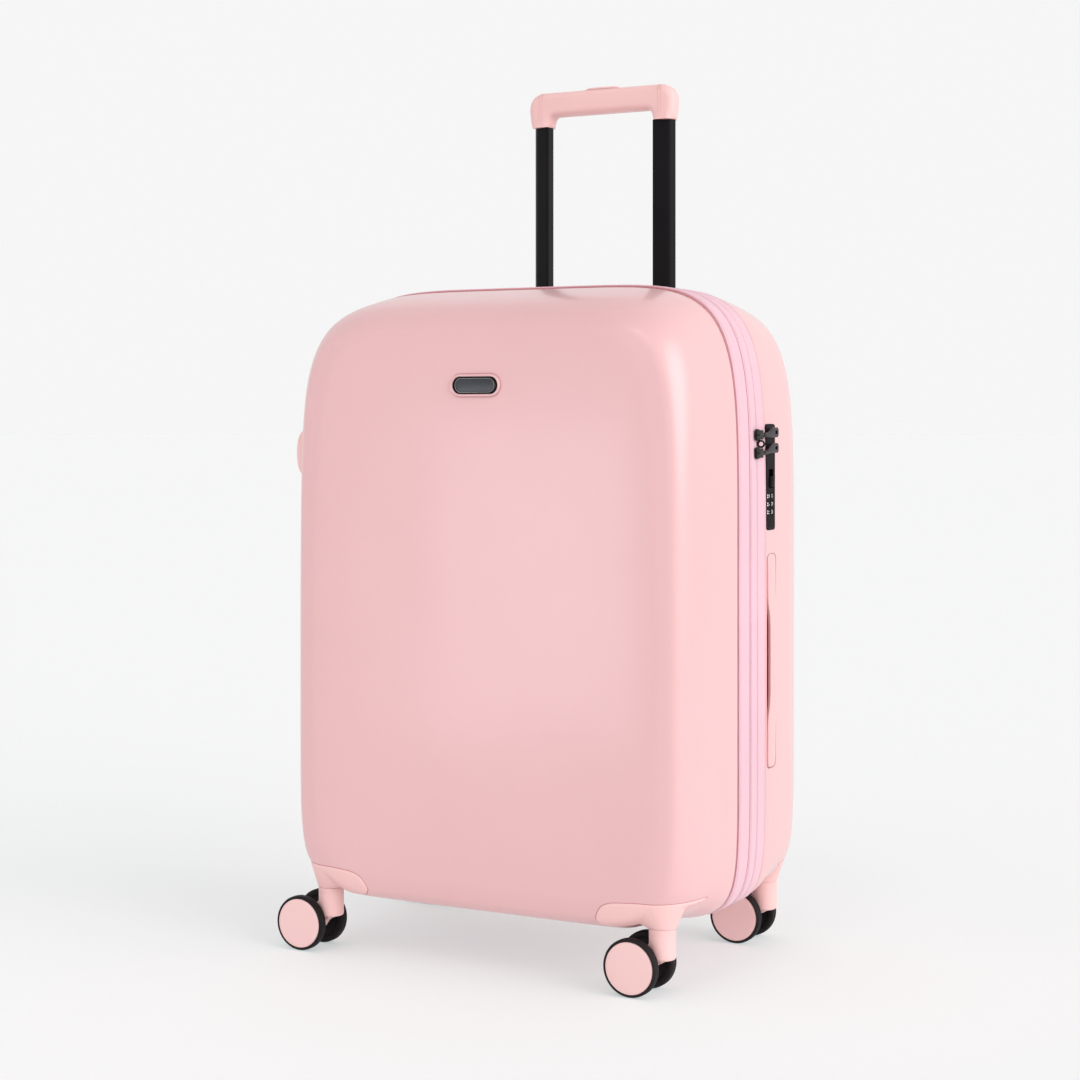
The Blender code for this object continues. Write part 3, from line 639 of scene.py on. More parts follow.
def row_of(name, y, offset, pitch, size, mat, body):
    """Small tapered blocks round the case: stitches or zip teeth. Size is along, out and across."""
    groups = []
    for spot, way, out in along_case(offset, pitch):
        middle = spot + Vector((0, y, 0))
        corners = []
        for a, shrink in ((-0.5, 0.6), (-0.22, 1.0), (0.22, 1.0), (0.5, 0.6)):
            for o, w in ((-0.5, -0.5), (0.5, -0.5), (0.5, 0.5), (-0.5, 0.5)):
                corners.append(middle + way * size[0] * a + out * size[1] * o * shrink
                               + Vector((0, size[2] * w * shrink, 0)))
        faces = [(0, 1, 2, 3), (12, 13, 14, 15)]
        for r in range(3):
            faces += [(r * 4 + k, r * 4 + (k + 1) % 4, r * 4 + 4 + (k + 1) % 4, r * 4 + 4 + k)
                      for k in range(4)]
        groups.append((corners, faces))
    piece(name, stitched(groups), mat, body, 30)


for name, y, offset in (("front_band_stitches", -0.0404, 0.0004), ("front_seam_stitches", -0.0142, 0.0003),
                        ("rear_band_stitches", 0.0198, 0.0002)):
    row_of(name, y, offset, 0.0036, (0.0026, 0.0006, 0.0005), THREAD, "front_half" if y < 0 else "rear_half")
for name, y, body in (("front_zip_teeth", 0.0002, "front_half"), ("rear_zip_teeth", 0.0024, "rear_half")):
    row_of(name, y, -0.003, 0.003, (0.0015, 0.0012, 0.0018), TOOTH, body)


# ---- linings, straps and hinge cloth
def lining_piece(name, sections, body, node):
    """Sewn lining with a little slack, and thickness."""
    rings = skin_rings(sections, 8)
    middle = np.array([0, rings[..., 1].mean(), 0.37])
    for ring in rings[2:]:
        for p in ring:
            slack = noise.fractal(Vector(p) * 14, 0.8, 2.0, 3) * 0.0014
            p += (middle - p) / np.linalg.norm(middle - p) * abs(slack)
    obj = piece(name, rings_mesh(list(rings), cap_end=True), LINING, body, 60, instead=node)
    add_uv(obj, run_length(rings[:, 0]), RING)
    mod = obj.modifiers.new("wall", "SOLIDIFY")
    mod.thickness = 0.001
    mod.offset = 0.0
    apply_modifiers(obj, 60)


lining_piece("front_lining_cloth", FRONT_LINING, "front_half", "front_lining")
lining_piece("rear_lining_cloth", REAR_LINING, "rear_half", "rear_lining")


# ---- caster housings, forks, wheels
WING_TOP = ((132.5, -141, 73.5), (135.0, -143.5, 80), (140.5, -145, 86.2), (152, -146, 89.6),
            (170, -147, 90.0), (190, -147, 89.2), (205, -145, 88.4), (216, -139, 87.4), (224, -131, 86.4),
            (229.5, -119, 85.8), (232, -104, 86.0), (232.8, -90, 86.6), (232.9, -84, 86.0))
WING_LOW = ((132.6, -141, 72), (134.5, -139, 68.0), (140.5, -136, 65.2), (155, -135, 64.6),
            (171, -135, 65.2), (188, -134.5, 66.5), (204, -135, 68.5), (215.5, -135, 72.5),
            (224, -129, 75.5), (229, -119, 77.0), (232, -104, 78.5), (232.8, -90, 81.4),
            (232.9, -84, 85.0))
WING_HEART = (172.0, -98.0, 106.0)


def wing_edge(rows, side, depth, count=72):
    """A smooth edge of the housing plate through its points, mirrored to a corner."""
    table = np.array(rows, float) / 1000
    knots = np.concatenate(([0], np.cumsum(np.linalg.norm(np.diff(table, axis=0), axis=1) + 0.004)))
    at = knots[-1] * (0.5 - 0.5 * np.cos(np.linspace(0, math.pi, count))) * 0.6 \
        + knots[-1] * np.linspace(0, 1, count) * 0.4
    columns = [curve_through(knots, table[:, k], at) for k in range(3)]
    return np.stack([columns[0] * side, columns[1] * -depth, columns[2]], 1)


def on_skin(tree, heart, toward, lift=0.0):
    """The point of a skin seen from inside it, pushed out along its normal."""
    way = (Vector(toward) - heart).normalized()
    spot, normal, _, _ = tree.ray_cast(heart, way)
    if spot is None:
        return Vector(toward)
    if normal.dot(way) < 0:
        normal = -normal
    return spot + normal * lift


def wing(tree, side, depth):
    """Closed plate that wraps the bottom corner of the shell."""
    heart = Vector((WING_HEART[0] * side, WING_HEART[1] * -depth, WING_HEART[2])) / 1000
    top, low = wing_edge(WING_TOP, side, depth), wing_edge(WING_LOW, side, depth)
    rows, columns = 15, len(top)
    outer, inner = [], []
    for j in range(rows):
        v = j / (rows - 1)
        for i in range(columns):
            target = top[i] * (1 - v) + low[i] * v
            width = np.linalg.norm(top[i] - low[i])
            edge = min(v, 1 - v) * width
            edge = min(edge, min(i, columns - 1 - i) / (columns - 1) * 0.11)
            rise = 0.0014 * float(smooth_step(-0.0002, 0.0022, edge)) - 0.0002
            outer.append(on_skin(tree, heart, target, rise))
            inner.append(on_skin(tree, heart, target, -0.003))
    faces, start = [], len(outer)
    for j in range(rows - 1):
        for i in range(columns - 1):
            a = j * columns + i
            faces.append((a, a + 1, a + columns + 1, a + columns))
            faces.append((start + a, start + a + columns, start + a + columns + 1, start + a + 1))
    rim = list(range(columns)) + [j * columns + columns - 1 for j in range(1, rows)]
    rim += [(rows - 1) * columns + i for i in range(columns - 2, -1, -1)]
    rim += [j * columns for j in range(rows - 2, 0, -1)]
    for k, here in enumerate(rim):
        there = rim[(k + 1) % len(rim)]
        faces.append((here, there, start + there, start + here))
    return outer + inner, faces, [outer[k] for k in rim]


def neck(tree, side, depth, plate):
    """The housing's flare: it runs straight down from the plate to the post of the fork."""
    axis = Vector((SWIVEL_X * side, SWIVEL_Y * depth, 0))
    bm = bmesh.new()
    for z, radius in ((SWIVEL_Z, 0.0134), (0.0672, 0.0135), (0.072, 0.0146), (0.075, 0.015)):
        for c, s in circle(64):
            bm.verts.new(axis + Vector((c * radius, s * radius, z)))
    for spot in plate:
        if (Vector(spot) - axis).xy.length < 0.0225:
            bm.verts.new(spot)
    bmesh.ops.convex_hull(bm, input=bm.verts[:])
    bmesh.ops.delete(bm, geom=[v for v in bm.verts if not v.link_faces], context="VERTS")
    bm.verts.index_update()
    form = [v.co.copy() for v in bm.verts], [tuple(v.index for v in f.verts) for f in bm.faces]
    bm.free()
    return form


def spread_foot(side, depth):
    """A low cone that fillets the flare into the underside, on the side of the case's middle."""
    levels = ((0.0665, 0.012), (0.069, 0.014), (0.071, 0.0162), (0.073, 0.019), (0.075, 0.0215),
              (0.079, 0.0215))
    rings = []
    for z, radius in levels:
        rings.append([(side * (SWIVEL_X - 0.009) + radius * c, depth * (SWIVEL_Y - 0.009) + radius * s, z)
                      for c, s in circle(64)])
    return capped(rings)


def caster_housing(tag, side, depth, tree, body):
    points, faces, path = wing(tree, side, depth)
    flare = neck(tree, side, depth, points[:len(points) // 2])
    form = stitched([(points, faces), flare, spread_foot(side, depth)])
    obj = piece("housing_wing_" + tag, form, TRIM, body, instead="caster_housing_" + tag)
    remesh(obj, 0.0009, 9)
    collar = [(0.0001, 0.0), (0.013, 0.0), (0.0131, 0.0003), (0.0131, 0.004), (0.0001, 0.0046)]
    form = lathe(collar, (SWIVEL_X * side, SWIVEL_Y * depth, SWIVEL_Z), (0, 0, 1), 64)
    piece("housing_collar_" + tag, form, TRIM, body, 30)
    # A dark line round the plate where it meets the shell: painted shadow of the joint.
    piece("housing_joint_shadow_" + tag, tube_mesh(path, 0.0004, closed=True, sides=6), GROOVE_SHADOW, body)


FORK_ARM = ((0.006, 0.033), (0.006, 0.052), (-0.01, 0.05), (-0.02, 0.043), (-0.033, 0.037),
            (-0.0365, 0.028), (-0.034, 0.019), (-0.0238, 0.0155), (-0.013, 0.0185), (-0.006, 0.029))


def fork_form():
    """Post and arm about the swivel line at the origin."""
    post = lathe([(0.0001, 0.0345), (0.009, 0.0343), (0.0118, 0.0348), (0.0129, 0.0362), (0.013, 0.038),
                  (0.013, 0.06), (0.012, 0.0605), (0.0001, 0.0605)], (0, 0, 0), (0, 0, 1), 48)
    arm = prism(rounded(FORK_ARM, 0.006, 5), "Y", -0.0088, 0.0088)
    return remesh(piece("fork_form", stitched([post, arm])), 0.0008, 5)


def copied(source, name, shift, body):
    """The same moulding moved to another place."""
    mesh = source.data.copy()
    mesh.transform(Matrix.Translation(shift))
    obj = placed(name, mesh)
    mesh.materials.clear()
    mesh.materials.append(TRIM)
    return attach(obj, body)


WHEEL_PROFILE = ((0.0033, -0.0046), (0.0068, -0.0046), (0.0074, -0.004), (0.008, -0.0028),
                 (0.0205, -0.0028), (0.0216, -0.0036), (0.0222, -0.0048), (0.0232, -0.0054),
                 (0.0252, -0.0055), (0.0264, -0.0051), (0.0273, -0.0043), (0.02775, -0.0031),
                 (0.02784, -0.0018), (0.02784, -0.0004), (0.02764, 0.0), (0.02784, 0.0004),
                 (0.02784, 0.0018), (0.02775, 0.0031), (0.0273, 0.0043), (0.0266, 0.005),
                 (0.0259, 0.0054), (0.0254, 0.0053), (0.0252, 0.0049), (0.0252, 0.0038), (0.0033, 0.0038),
                 (0.0033, -0.0046))
CAP_PROFILE = ((0.0001, 0.0055), (0.008, 0.0055), (0.016, 0.00542), (0.0215, 0.0053), (0.0238, 0.00515),
               (0.0246, 0.0049), (0.0249, 0.0045), (0.0249, 0.004), (0.0001, 0.004))


def caster(tag, side, depth, form):
    x, y = side * SWIVEL_X, depth * SWIVEL_Y
    fork = copied(form, "fork_arm_" + tag, (x, y, 0), "swivel_" + tag)
    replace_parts(fork, "fork_" + tag)
    ring = [(0.0001, 0.0), (0.0128, 0.0), (0.01302, 0.0004), (0.01302, 0.0054), (0.0129, 0.0056),
            (0.0001, 0.0056)]
    piece("fork_ring_" + tag, lathe(ring, (x, y, 0.0585), (0, 0, 1), 64), TRIM, "swivel_" + tag,
          30)
    for letter, face in (("front", -1), ("back", 1)):
        centre = (x - TRAIL, y + face * WHEEL_MIDDLE, AXLE_Z)
        body = "wheels_%s_%s" % (tag, letter)
        name = "%s_%s" % (tag, letter)
        piece("tyre_" + name, lathe(WHEEL_PROFILE, centre, (0, face, 0), 72), TYRE, body, 35,
              instead="wheel_" + name)
        piece("disc_" + name, lathe(CAP_PROFILE, centre, (0, face, 0), 72), CAP, body, 35,
              instead="cap_" + name)
        hub = [(0.0034, -0.005), (0.0036, -0.0053), (0.0056, -0.0053), (0.006, -0.005), (0.006, -0.004),
               (0.0034, -0.004), (0.0034, -0.005)]
        piece("bearing_" + name, lathe(hub, centre, (0, face, 0), 32), STEEL, body, 35)


fork_source = fork_form()
for tag, side, depth in CORNERS:
    front = depth < 0
    caster_housing(tag, side, depth, FRONT_TREE if front else REAR_TREE,
                   "front_half" if front else "rear_half")
    caster(tag, side, depth, fork_source)
bpy.data.objects.remove(fork_source)


# ---- badge and side studs
def stadium(inset, middle_z, half=0.0258, high=0.0085, steps=14):
    """(x, z) outline with round ends, moved inwards by an inset."""
    radius = high - inset
    points = []
    for side, start in ((1, -math.pi / 2), (-1, math.pi / 2)):
        for k in range(steps + 1):
            a = start + math.pi * k / steps
            points.append((side * (half - high) + radius * math.cos(a), middle_z + radius * math.sin(a)))
    return points


def badge():
    low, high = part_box("badge_plate")
    middle = (low.z + high.z) / 2
    front = low.y

    def ring(inset, depth, narrow=1.0):
        return [(x * narrow, front + depth, z) for x, z in stadium(inset, middle)]
    plate = [ring(0.0, 0.0028), ring(0.0002, 0.002), ring(0.001, 0.0018), ring(0.0016, 0.0018)]
    face = [ring(0.0014, 0.0016, 0.925), ring(0.0015, 0.0008, 0.925), ring(0.0018, 0.0005, 0.925),
            ring(0.0022, 0.0004, 0.926), ring(0.0028, 0.0007, 0.928), ring(0.0045, 0.0006, 0.93),
            ring(0.006, 0.0005, 0.93)]
    piece("badge_plate_blank", capped(plate + face), BADGE,
          "front_half", 25, instead="badge_plate")
    form = rings_mesh([ring(-0.0002, 0.002), ring(0.0001, 0.0014), ring(0.001, 0.0014),
                       ring(0.002, 0.0014), ring(0.003, 0.002)])
    piece("badge_edge", form, LOCK, "front_half")
    form = tube_mesh(ring(0.0017, 0.0004, 0.925), 0.00016, closed=True, sides=8)
    piece("badge_rim", form, STEEL, "front_half")
    bezel = [ring(0.0003, 0.0026), ring(-0.0001, 0.0009), ring(-0.0003, 0.0003), ring(-0.0007, -0.0002),
             ring(-0.0012, -0.0004), ring(-0.0018, -0.0002), ring(-0.0023, 0.0004), ring(-0.0027, 0.0013),
             ring(-0.0029, 0.0024), ring(-0.003, 0.004)]
    piece("badge_bezel", rings_mesh(bezel), SHELL, "front_half", 50)
    # A dark line at the bezel's outer edge: painted shadow line.
    piece("badge_bezel_shadow_line", tube_mesh(ring(-0.003, 0.0022), 0.00022, closed=True, sides=6), GROOVE_SHADOW,
          "front_half")


def stud(name, node):
    """A lens-shaped stud high on the hinge side."""
    low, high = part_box(node)
    y, z = (low.y + high.y) / 2, (low.z + high.z) / 2
    rings = []
    for scale, rise in ((1.06, 0.0165), (1.05, 0.0112), (1.0, 0.0088), (0.93, 0.006), (0.82, 0.0036),
                        (0.66, 0.0017), (0.46, 0.0006), (0.22, 0.0001)):
        rings.append([(low.x + rise, y + 0.0062 * scale * math.copysign(abs(c) ** 0.8, c),
                       z + 0.0242 * scale * math.copysign(abs(s) ** 0.9, s)) for c, s in circle(48)])
    piece(name, capped(rings), TRIM,
          "front_half" if y < 0 else "rear_half", 50, instead=node)


badge()
stud("front_stud", "front_foot")
stud("rear_stud", "rear_foot")


# ---- telescopic handle
GRIP_HALF = ((0.0, 905.0), (68.0, 905.0), (77.5, 904.0), (84.0, 900.2), (87.8, 893.6), (88.7, 886.5),
             (87.6, 876.5), (85.8, 867.0), (62.6, 867.0), (61.8, 872.5), (60.2, 876.3), (57.6, 878.0),
             (54.0, 878.3), (0.0, 878.3))
GRIP_SEAM_X = 0.0705


def moved_in(plan, inset):
    """An outline moved inwards along its own normals."""
    table = np.array(plan)
    ahead, behind = np.roll(table, -1, 0), np.roll(table, 1, 0)
    way = ahead - behind
    way /= np.maximum(np.linalg.norm(way, axis=1, keepdims=True), 1e-9)
    area = np.sum(table[:, 0] * ahead[:, 1] - ahead[:, 0] * table[:, 1])
    inward = np.stack([-way[:, 1], way[:, 0]], 1) * (1 if area > 0 else -1)
    return table + inward * inset


def pillow(plan, y_low, y_high, radius, steps=6, floor=None):
    """A bar along Y whose outline is rounded over at both faces; the foot stays cut square."""
    levels = []
    for k in range(steps + 1):
        a = math.pi / 2 * k / steps
        levels.append((radius * (1 - math.sin(a)), y_low + radius * (1 - math.cos(a))))
    levels += [(inset, y_high + y_low - y) for inset, y in reversed(levels)]
    rings = []
    for inset, y in levels:
        ring = moved_in(plan, inset)
        if floor is not None:
            foot = np.array(plan)[:, 1] < floor + 0.0004
            ring[foot, 1] = floor
        rings.append([(x, y, z) for x, z in ring])
    return capped(rings)


def grip():
    low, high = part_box("grip")
    half = [(x / 1000, z / 1000) for x, z in GRIP_HALF]
    full = half + [(-x, z) for x, z in reversed(half[1:-1])]
    plan = rounded(full, 0.003, 3)
    piece("grip_moulding", pillow(plan, low.y, high.y, 0.008, floor=low.z), TRIM, "handle_upper",
          50, instead="grip")
    for tag, side in (("left", -1), ("right", 1)):
        for part, shift in (("inner", 0.0), ("outer", 0.0034)):
            x = side * (GRIP_SEAM_X + shift)
            loop = rounded([(low.y, low.z), (low.y, high.z - 0.0001), (high.y, high.z - 0.0001),
                            (high.y, low.z)], 0.008, 6)
            path = [(x, a, b) for a, b in loop[4:-4]]
            piece("grip_seam_%s_%s" % (tag, part), tube_mesh(path, 0.00018, sides=6), FAINT,
                  "handle_upper")


def superellipse(a, b, power, steps=64):
    return [(a * math.copysign(abs(c) ** (2 / power), c), b * math.copysign(abs(s) ** (2 / power), s))
            for c, s in circle(steps)]


def button():
    low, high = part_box("grip_button")
    middle = (low + high) / 2
    a, b = (high.x - low.x) / 2, (high.y - low.y) / 2
    rings = []
    for scale, z in ((1.0, low.z + 0.002), (1.0, 0.9052), (0.985, 0.9059), (0.95, 0.9064), (0.88, 0.9068),
                     (0.72, 0.9071), (0.5, 0.9073), (0.2, high.z)):
        rings.append([(middle.x + x * scale, middle.y + y * scale, z) for x, y in superellipse(a, b, 3.2)])
    piece("grip_button_dome", capped(rings), TRIM,
          "handle_button", 50, instead="grip_button")
    path = [(middle.x + x, middle.y + y, 0.905) for x, y in superellipse(a + 0.0003, b + 0.0003, 3.2)]
    piece("grip_button_gap", tube_mesh(path, 0.00022, closed=True, sides=6), FAINT,
          "handle_upper")


def tray_plan(grow):
    left, right, front, back = TRAY
    return rounded(rectangle(left - grow, right + grow, front - grow, back + grow), 0.0085 + grow, 8)


def tray():
    """The tray for the stowed grip: a lipped frame on the shell, walls, and a floor."""
    floor = 0.6508
    steps = ((0.0042, -0.0006), (0.0042, 0.0003), (0.0038, 0.0008), (0.003, 0.001), (0.001, 0.001),
             (0.0002, 0.0007), (-0.0002, 0.0), (-0.0003, -0.002))
    rings = []
    for grow, rise in steps:
        ring = []
        for x, y in tray_plan(grow):
            top = REAR_TREE.ray_cast(Vector((x, y, 0.6)), Vector((0, 0, 1)))[0].z
            ring.append((x, y, max(top + rise, floor + 0.001 if rise < 0 else 0)))
        rings.append(ring)
    for grow, z in ((-0.0004, floor + 0.0012), (-0.0007, floor + 0.0005), (-0.0014, floor)):
        rings.append([(x, y, z) for x, y in tray_plan(grow)])
    piece("grip_tray", rings_mesh(rings, cap_end=True), TRIM, "rear_half", 40,
          instead="handle_housing")
    for k, x in enumerate((-0.036, 0.036)):
        head = [(0.0001, -0.0004), (0.001, -0.0004), (0.0012, 0.0006), (0.0024, 0.0007), (0.003, 0.0004),
                (0.0031, -0.0006)]
        piece("tray_screw_%d" % k, lathe(head, (x, 0.122, floor), (0, 0, 1), 30), STEEL,
              "rear_half", 30)


def tube_plan(side, grow):
    """Section of a handle tube, front face swept back towards the outside."""
    low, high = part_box("inner_tube_right")
    wide, deep = high.x - low.x, high.y - low.y
    corners = [(-grow, -grow), (wide * 0.8 + grow * 0.6, deep * 0.4 - grow * 0.9),
               (wide + grow, deep * 0.72 - grow * 0.3), (wide + grow, deep + grow), (-grow, deep + grow)]
    return [(side * (low.x + x), low.y + y) for x, y in rounded(corners, 0.0028 + grow, 4)]


def collars():
    """Guide bushes round the tubes in the tray floor."""
    for tag, side in (("left", -1), ("right", 1)):
        levels = ((0.0019, 0.649), (0.0019, 0.6524), (0.0022, 0.6528), (0.0034, 0.6528), (0.004, 0.6522),
                  (0.0042, 0.6506))
        rings = [[(x, y, z) for x, y in tube_plan(side, grow)] for grow, z in levels]
        piece("tube_bush_" + tag, rings_mesh(rings), LOCK, "rear_half", 35)


grip()
button()
tray()
collars()


# ---- carry handles
def carry_form():
    """Flush grip: thick ends, a thin middle that fingers go behind, and a slot along its front."""
    start = REAR_TREE.ray_cast(Vector((0.2, 0.03, CARRY_Z)), Vector((1, 0, 0)))[0].x
    end = REAR_TREE.ray_cast(Vector((0.2, 0.051, CARRY_Z)), Vector((1, 0, 0)))[0].x
    lean = (end - start) / 0.021
    rings = []
    half = (0.15, 0.3, 0.42, 0.5, 0.56, 0.62, 0.68, 0.74, 0.8, 0.86, 0.92, 0.955, 0.975, 0.99, 0.998, 1.0)
    for s in [-share for share in reversed(half)] + [0.0] + list(half):
        far = abs(s)
        top = start + 0.0003 + 0.0006 * (1 - far ** 2.4)
        thick = 0.004 + 0.006 * float(smooth_step(0.44, 0.66, far))
        front = 0.03 + 0.0052 * (1 - float(smooth_step(0.34, 0.58, far)))
        back = 0.0513
        close = math.sqrt(max(0.0, 1 - ((far - 0.93) / 0.07) ** 2)) if far > 0.93 else 1.0
        middle = (front + back) / 2
        wide, deep = (back - front) / 2 * (0.6 + 0.4 * close), thick / 2 * (0.8 + 0.2 * close)
        rings.append([(top - thick / 2 + deep * x + lean * (middle + wide * y - 0.03), middle + wide * y,
                       CARRY_Z + s * CARRY_HALF) for x, y in superellipse(1.0, 1.0, 6.0, 48)])
    return capped(rings)


form = carry_form()
side_grip = piece("side_carry_grip", form, SHELL, angle=50)
top_grip = to_top(piece("top_carry_grip", form, SHELL, angle=50))
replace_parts(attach(side_grip, "side_carry"), "side_carry_handle")
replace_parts(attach(top_grip, "top_carry"), "top_carry_handle")
# A dark red strip just inside the front rim of each recess: painted shadow of the slot behind the grip.
slot_path = [(0.2322, 0.0262, CARRY_Z + s * 0.103) for s in np.linspace(-1, 1, 24)]
form = tube_mesh(slot_path, 0.0013, sides=8)
piece("side_carry_painted_shadow_strip", form, HOLLOW_SHADE, "rear_half")
to_top(piece("top_carry_painted_shadow_strip", form, HOLLOW_SHADE, "rear_half"))


# ---- lock, dials, catch, sliders and pullers
DIAL_MIDDLE_Y = 0.0355
DIAL_X = 0.2265
DIAL_HEIGHTS = (0.4534, 0.4614, 0.4694)
SHOWN = (3, 7, 1)             # the digit that each dial shows
PULLER_Z = {"upper": 0.531, "lower": 0.513}


def lock_plate():
    low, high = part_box("lock_case")
    low.y -= 0.0014
    form = prism(rounded(rectangle(low.y, high.y, low.z, high.z), 0.0034, 6), "X", low.x, high.x)
    obj = piece("lock_plate", form, LOCK, "rear_half", 40, instead="lock_case")
    round_edges(obj, 0.0009, 3, 50)
    cutters = []
    for z in DIAL_HEIGHTS:
        form = lathe([(0.0001, -0.0035), (0.0089, -0.0035), (0.0089, 0.0035), (0.0001, 0.0035)],
                     (DIAL_X, DIAL_MIDDLE_Y, z), (0, 0, 1), 64)
        cutters.append(piece("cutter", form))
    slot_plan = rounded(rectangle(0.0303, 0.0407, 0.4776, 0.4964), 0.0012, 3)
    cutters.append(cutter(slot_plan, "X", 0.2296, 0.24))
    line = rounded(rectangle(low.y + 0.0022, high.y - 0.0022, low.z + 0.0022, high.z - 0.0022), 0.0022, 5)
    carve(obj, cutters)
    path = [(high.x - 0.00005, y, z) for y, z in line]
    piece("lock_plate_line", tube_mesh(path, 0.00018, closed=True, sides=6), CHROME, "rear_half")
    groups = []
    for z in DIAL_HEIGHTS:
        for rise in (-0.0011, 0.0011):
            groups.append(lathe([(0.00001, 0.00025), (0.0008, 0.00025), (0.0009, -0.0002)],
                                (high.x, 0.0272, z + rise), (1, 0, 0), 16))
    piece("lock_index_marks", stitched(groups), DIGIT, "rear_half")


def dial(number, z):
    """A number wheel with ten flats and grip notches between them."""
    rings = []
    for radius, height in ((0.003, -0.0031), (0.0078, -0.0031), (0.0083, -0.0026), (0.0085, -0.0019),
                           (0.0085, 0.0019), (0.0083, 0.0026), (0.0078, 0.0031), (0.003, 0.0031)):
        ring = []
        for k in range(160):
            a = 2 * math.pi * k / 160
            notch = abs(math.sin(5 * a + math.pi / 2)) ** 14
            r = radius * (1 - 0.045 * notch) if radius > 0.004 else radius
            ring.append((DIAL_X + r * math.cos(a + math.pi / 10),
                         DIAL_MIDDLE_Y + r * math.sin(a + math.pi / 10), z + height))
        rings.append(ring)
    body = "dial_%d" % number
    piece("dial_wheel_%d" % number, capped(rings), DIAL, body, 30,
          instead="lock_dial_%d" % number)
    groups = []
    for value in range(10):
        curve = bpy.data.curves.new("digit", "FONT")
        curve.body = str(value)
        curve.size = 0.0054
        curve.align_x = "CENTER"
        curve.align_y = "CENTER"
        curve.extrude = 0.0001
        glyph = placed("digit", curve)
        bpy.context.view_layer.update()
        mesh = bpy.data.meshes.new_from_object(glyph.evaluated_get(bpy.context.evaluated_depsgraph_get()))
        a = 2 * math.pi * (value - SHOWN[number - 1]) / 10
        out = Vector((math.cos(a), math.sin(a), 0))
        right = Vector((0, 0, 1)).cross(out)
        turn = Matrix((right, (0, 0, 1), out)).transposed().to_4x4()
        spot = Vector((DIAL_X, DIAL_MIDDLE_Y, z)) + out * 0.00852
        mesh.transform(Matrix.Translation(spot) @ turn)
        groups.append(([v.co.copy() for v in mesh.vertices], [tuple(p.vertices) for p in mesh.polygons]))
        bpy.data.objects.remove(glyph)
    piece("dial_numbers_%d" % number, stitched(groups), DIGIT, body, 30)


def catch():
    low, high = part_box("lock_catch")
    top = high.x
    plan = [(low.x, low.z), (top - 0.0007, low.z), (top - 0.0002, low.z + 0.0005)]
    for k in range(5):
        z = low.z + 0.0012 + 0.0017 * k
        plan += [(top, z), (top, z + 0.0006), (top - 0.0007, z + 0.0009), (top - 0.0007, z + 0.0013)]
    plan += [(top - 0.0002, high.z - 0.0004), (top - 0.0007, high.z), (low.x, high.z)]
    obj = piece("lock_catch_ribbed", prism(plan, "Y", low.y, high.y), LOCK, "catch", 25,
                instead="lock_catch")
    round_edges(obj, 0.00025, 2, 50)


def slider(tag):
    """Zip slider: waisted body, end ribs and a bridge that holds the puller."""
    low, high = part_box("zip_slider_" + tag)
    middle = (low.z + high.z) / 2
    plan = [(low.y, low.z + 0.001), (low.y + 0.003, low.z), (high.y - 0.005, low.z + 0.0016),
            (high.y, low.z + 0.0008), (high.y, high.z - 0.0008), (high.y - 0.005, high.z - 0.0016),
            (low.y + 0.003, high.z), (low.y, high.z - 0.001)]
    form = prism(rounded(plan, 0.0022, 5), "X", low.x + 0.0005, low.x + 0.003)
    obj = piece("slider_body_" + tag, form, SLIDER, "slider_" + tag, 40,
                instead="zip_slider_" + tag)
    round_edges(obj, 0.0007, 3, 50)
    arch = [(low.x + 0.002, low.y + 0.002), (low.x + 0.0032, low.y + 0.0024),
            (high.x - 0.0012, low.y + 0.0042), (high.x - 0.0011, high.y - 0.006),
            (high.x - 0.0014, high.y - 0.003), (low.x + 0.003, high.y - 0.0016),
            (low.x + 0.0018, high.y - 0.0014)]
    smooth = rounded(arch, 0.0015, 4)[4:-4]
    piece("slider_bridge_" + tag, tube_mesh([(x, y, middle) for x, y in smooth], 0.0011, sides=12),
          SLIDER, "slider_" + tag)
    ribs = []
    for rise in (-0.0042, -0.003, 0.003, 0.0042):
        path = [(low.x + 0.0028, low.y + 0.0022, middle + rise),
                (low.x + 0.0031, low.y + 0.005, middle + rise),
                (low.x + 0.0028, high.y - 0.003, middle + rise * 0.85)]
        ribs.append(tube_mesh(path, 0.00035, sides=6))
    piece("slider_ribs_" + tag, stitched(ribs), SLIDER, "slider_" + tag)


def puller(tag):
    """Tapered pull tab with a raised rim and an eye."""
    low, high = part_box("puller_" + tag)
    z = PULLER_Z[tag]
    foot, head = (z - 0.0028, z + 0.0074) if tag == "upper" else (z - 0.0004, z + 0.0098)
    plan = [(low.y, z - 0.0022), (low.y + 0.006, (z + foot) / 2 - 0.0012), (low.y + 0.014, foot),
            (high.y - 0.002, foot), (high.y, foot + 0.0018), (high.y, head - 0.0018),
            (high.y - 0.002, head), (low.y + 0.0195, head - 0.0004), (low.y + 0.0125, head - 0.0036),
            (low.y + 0.006, z + 0.002), (low.y, z + 0.0022)]
    obj = piece("pull_tab_" + tag, prism(rounded(plan, 0.0022, 4), "X", low.x, high.x - 0.0004), CHROME,
                "pull_tab_" + tag, 40, instead="puller_" + tag)
    round_edges(obj, 0.0006, 3, 50)
    eye_plan = rounded(rectangle(high.y - 0.0086, high.y - 0.0034, foot + 0.0032, head - 0.0032), 0.0018, 5)
    carve(obj, [cutter(eye_plan, "X", low.x - 0.001, high.x + 0.001)])
    rim = moved_in(rounded(plan, 0.0022, 4), 0.001)
    form = tube_mesh([(high.x - 0.0005, a, b) for a, b in rim], 0.00035, closed=True, sides=6)
    piece("pull_tab_rim_" + tag, form, CHROME, "pull_tab_" + tag)


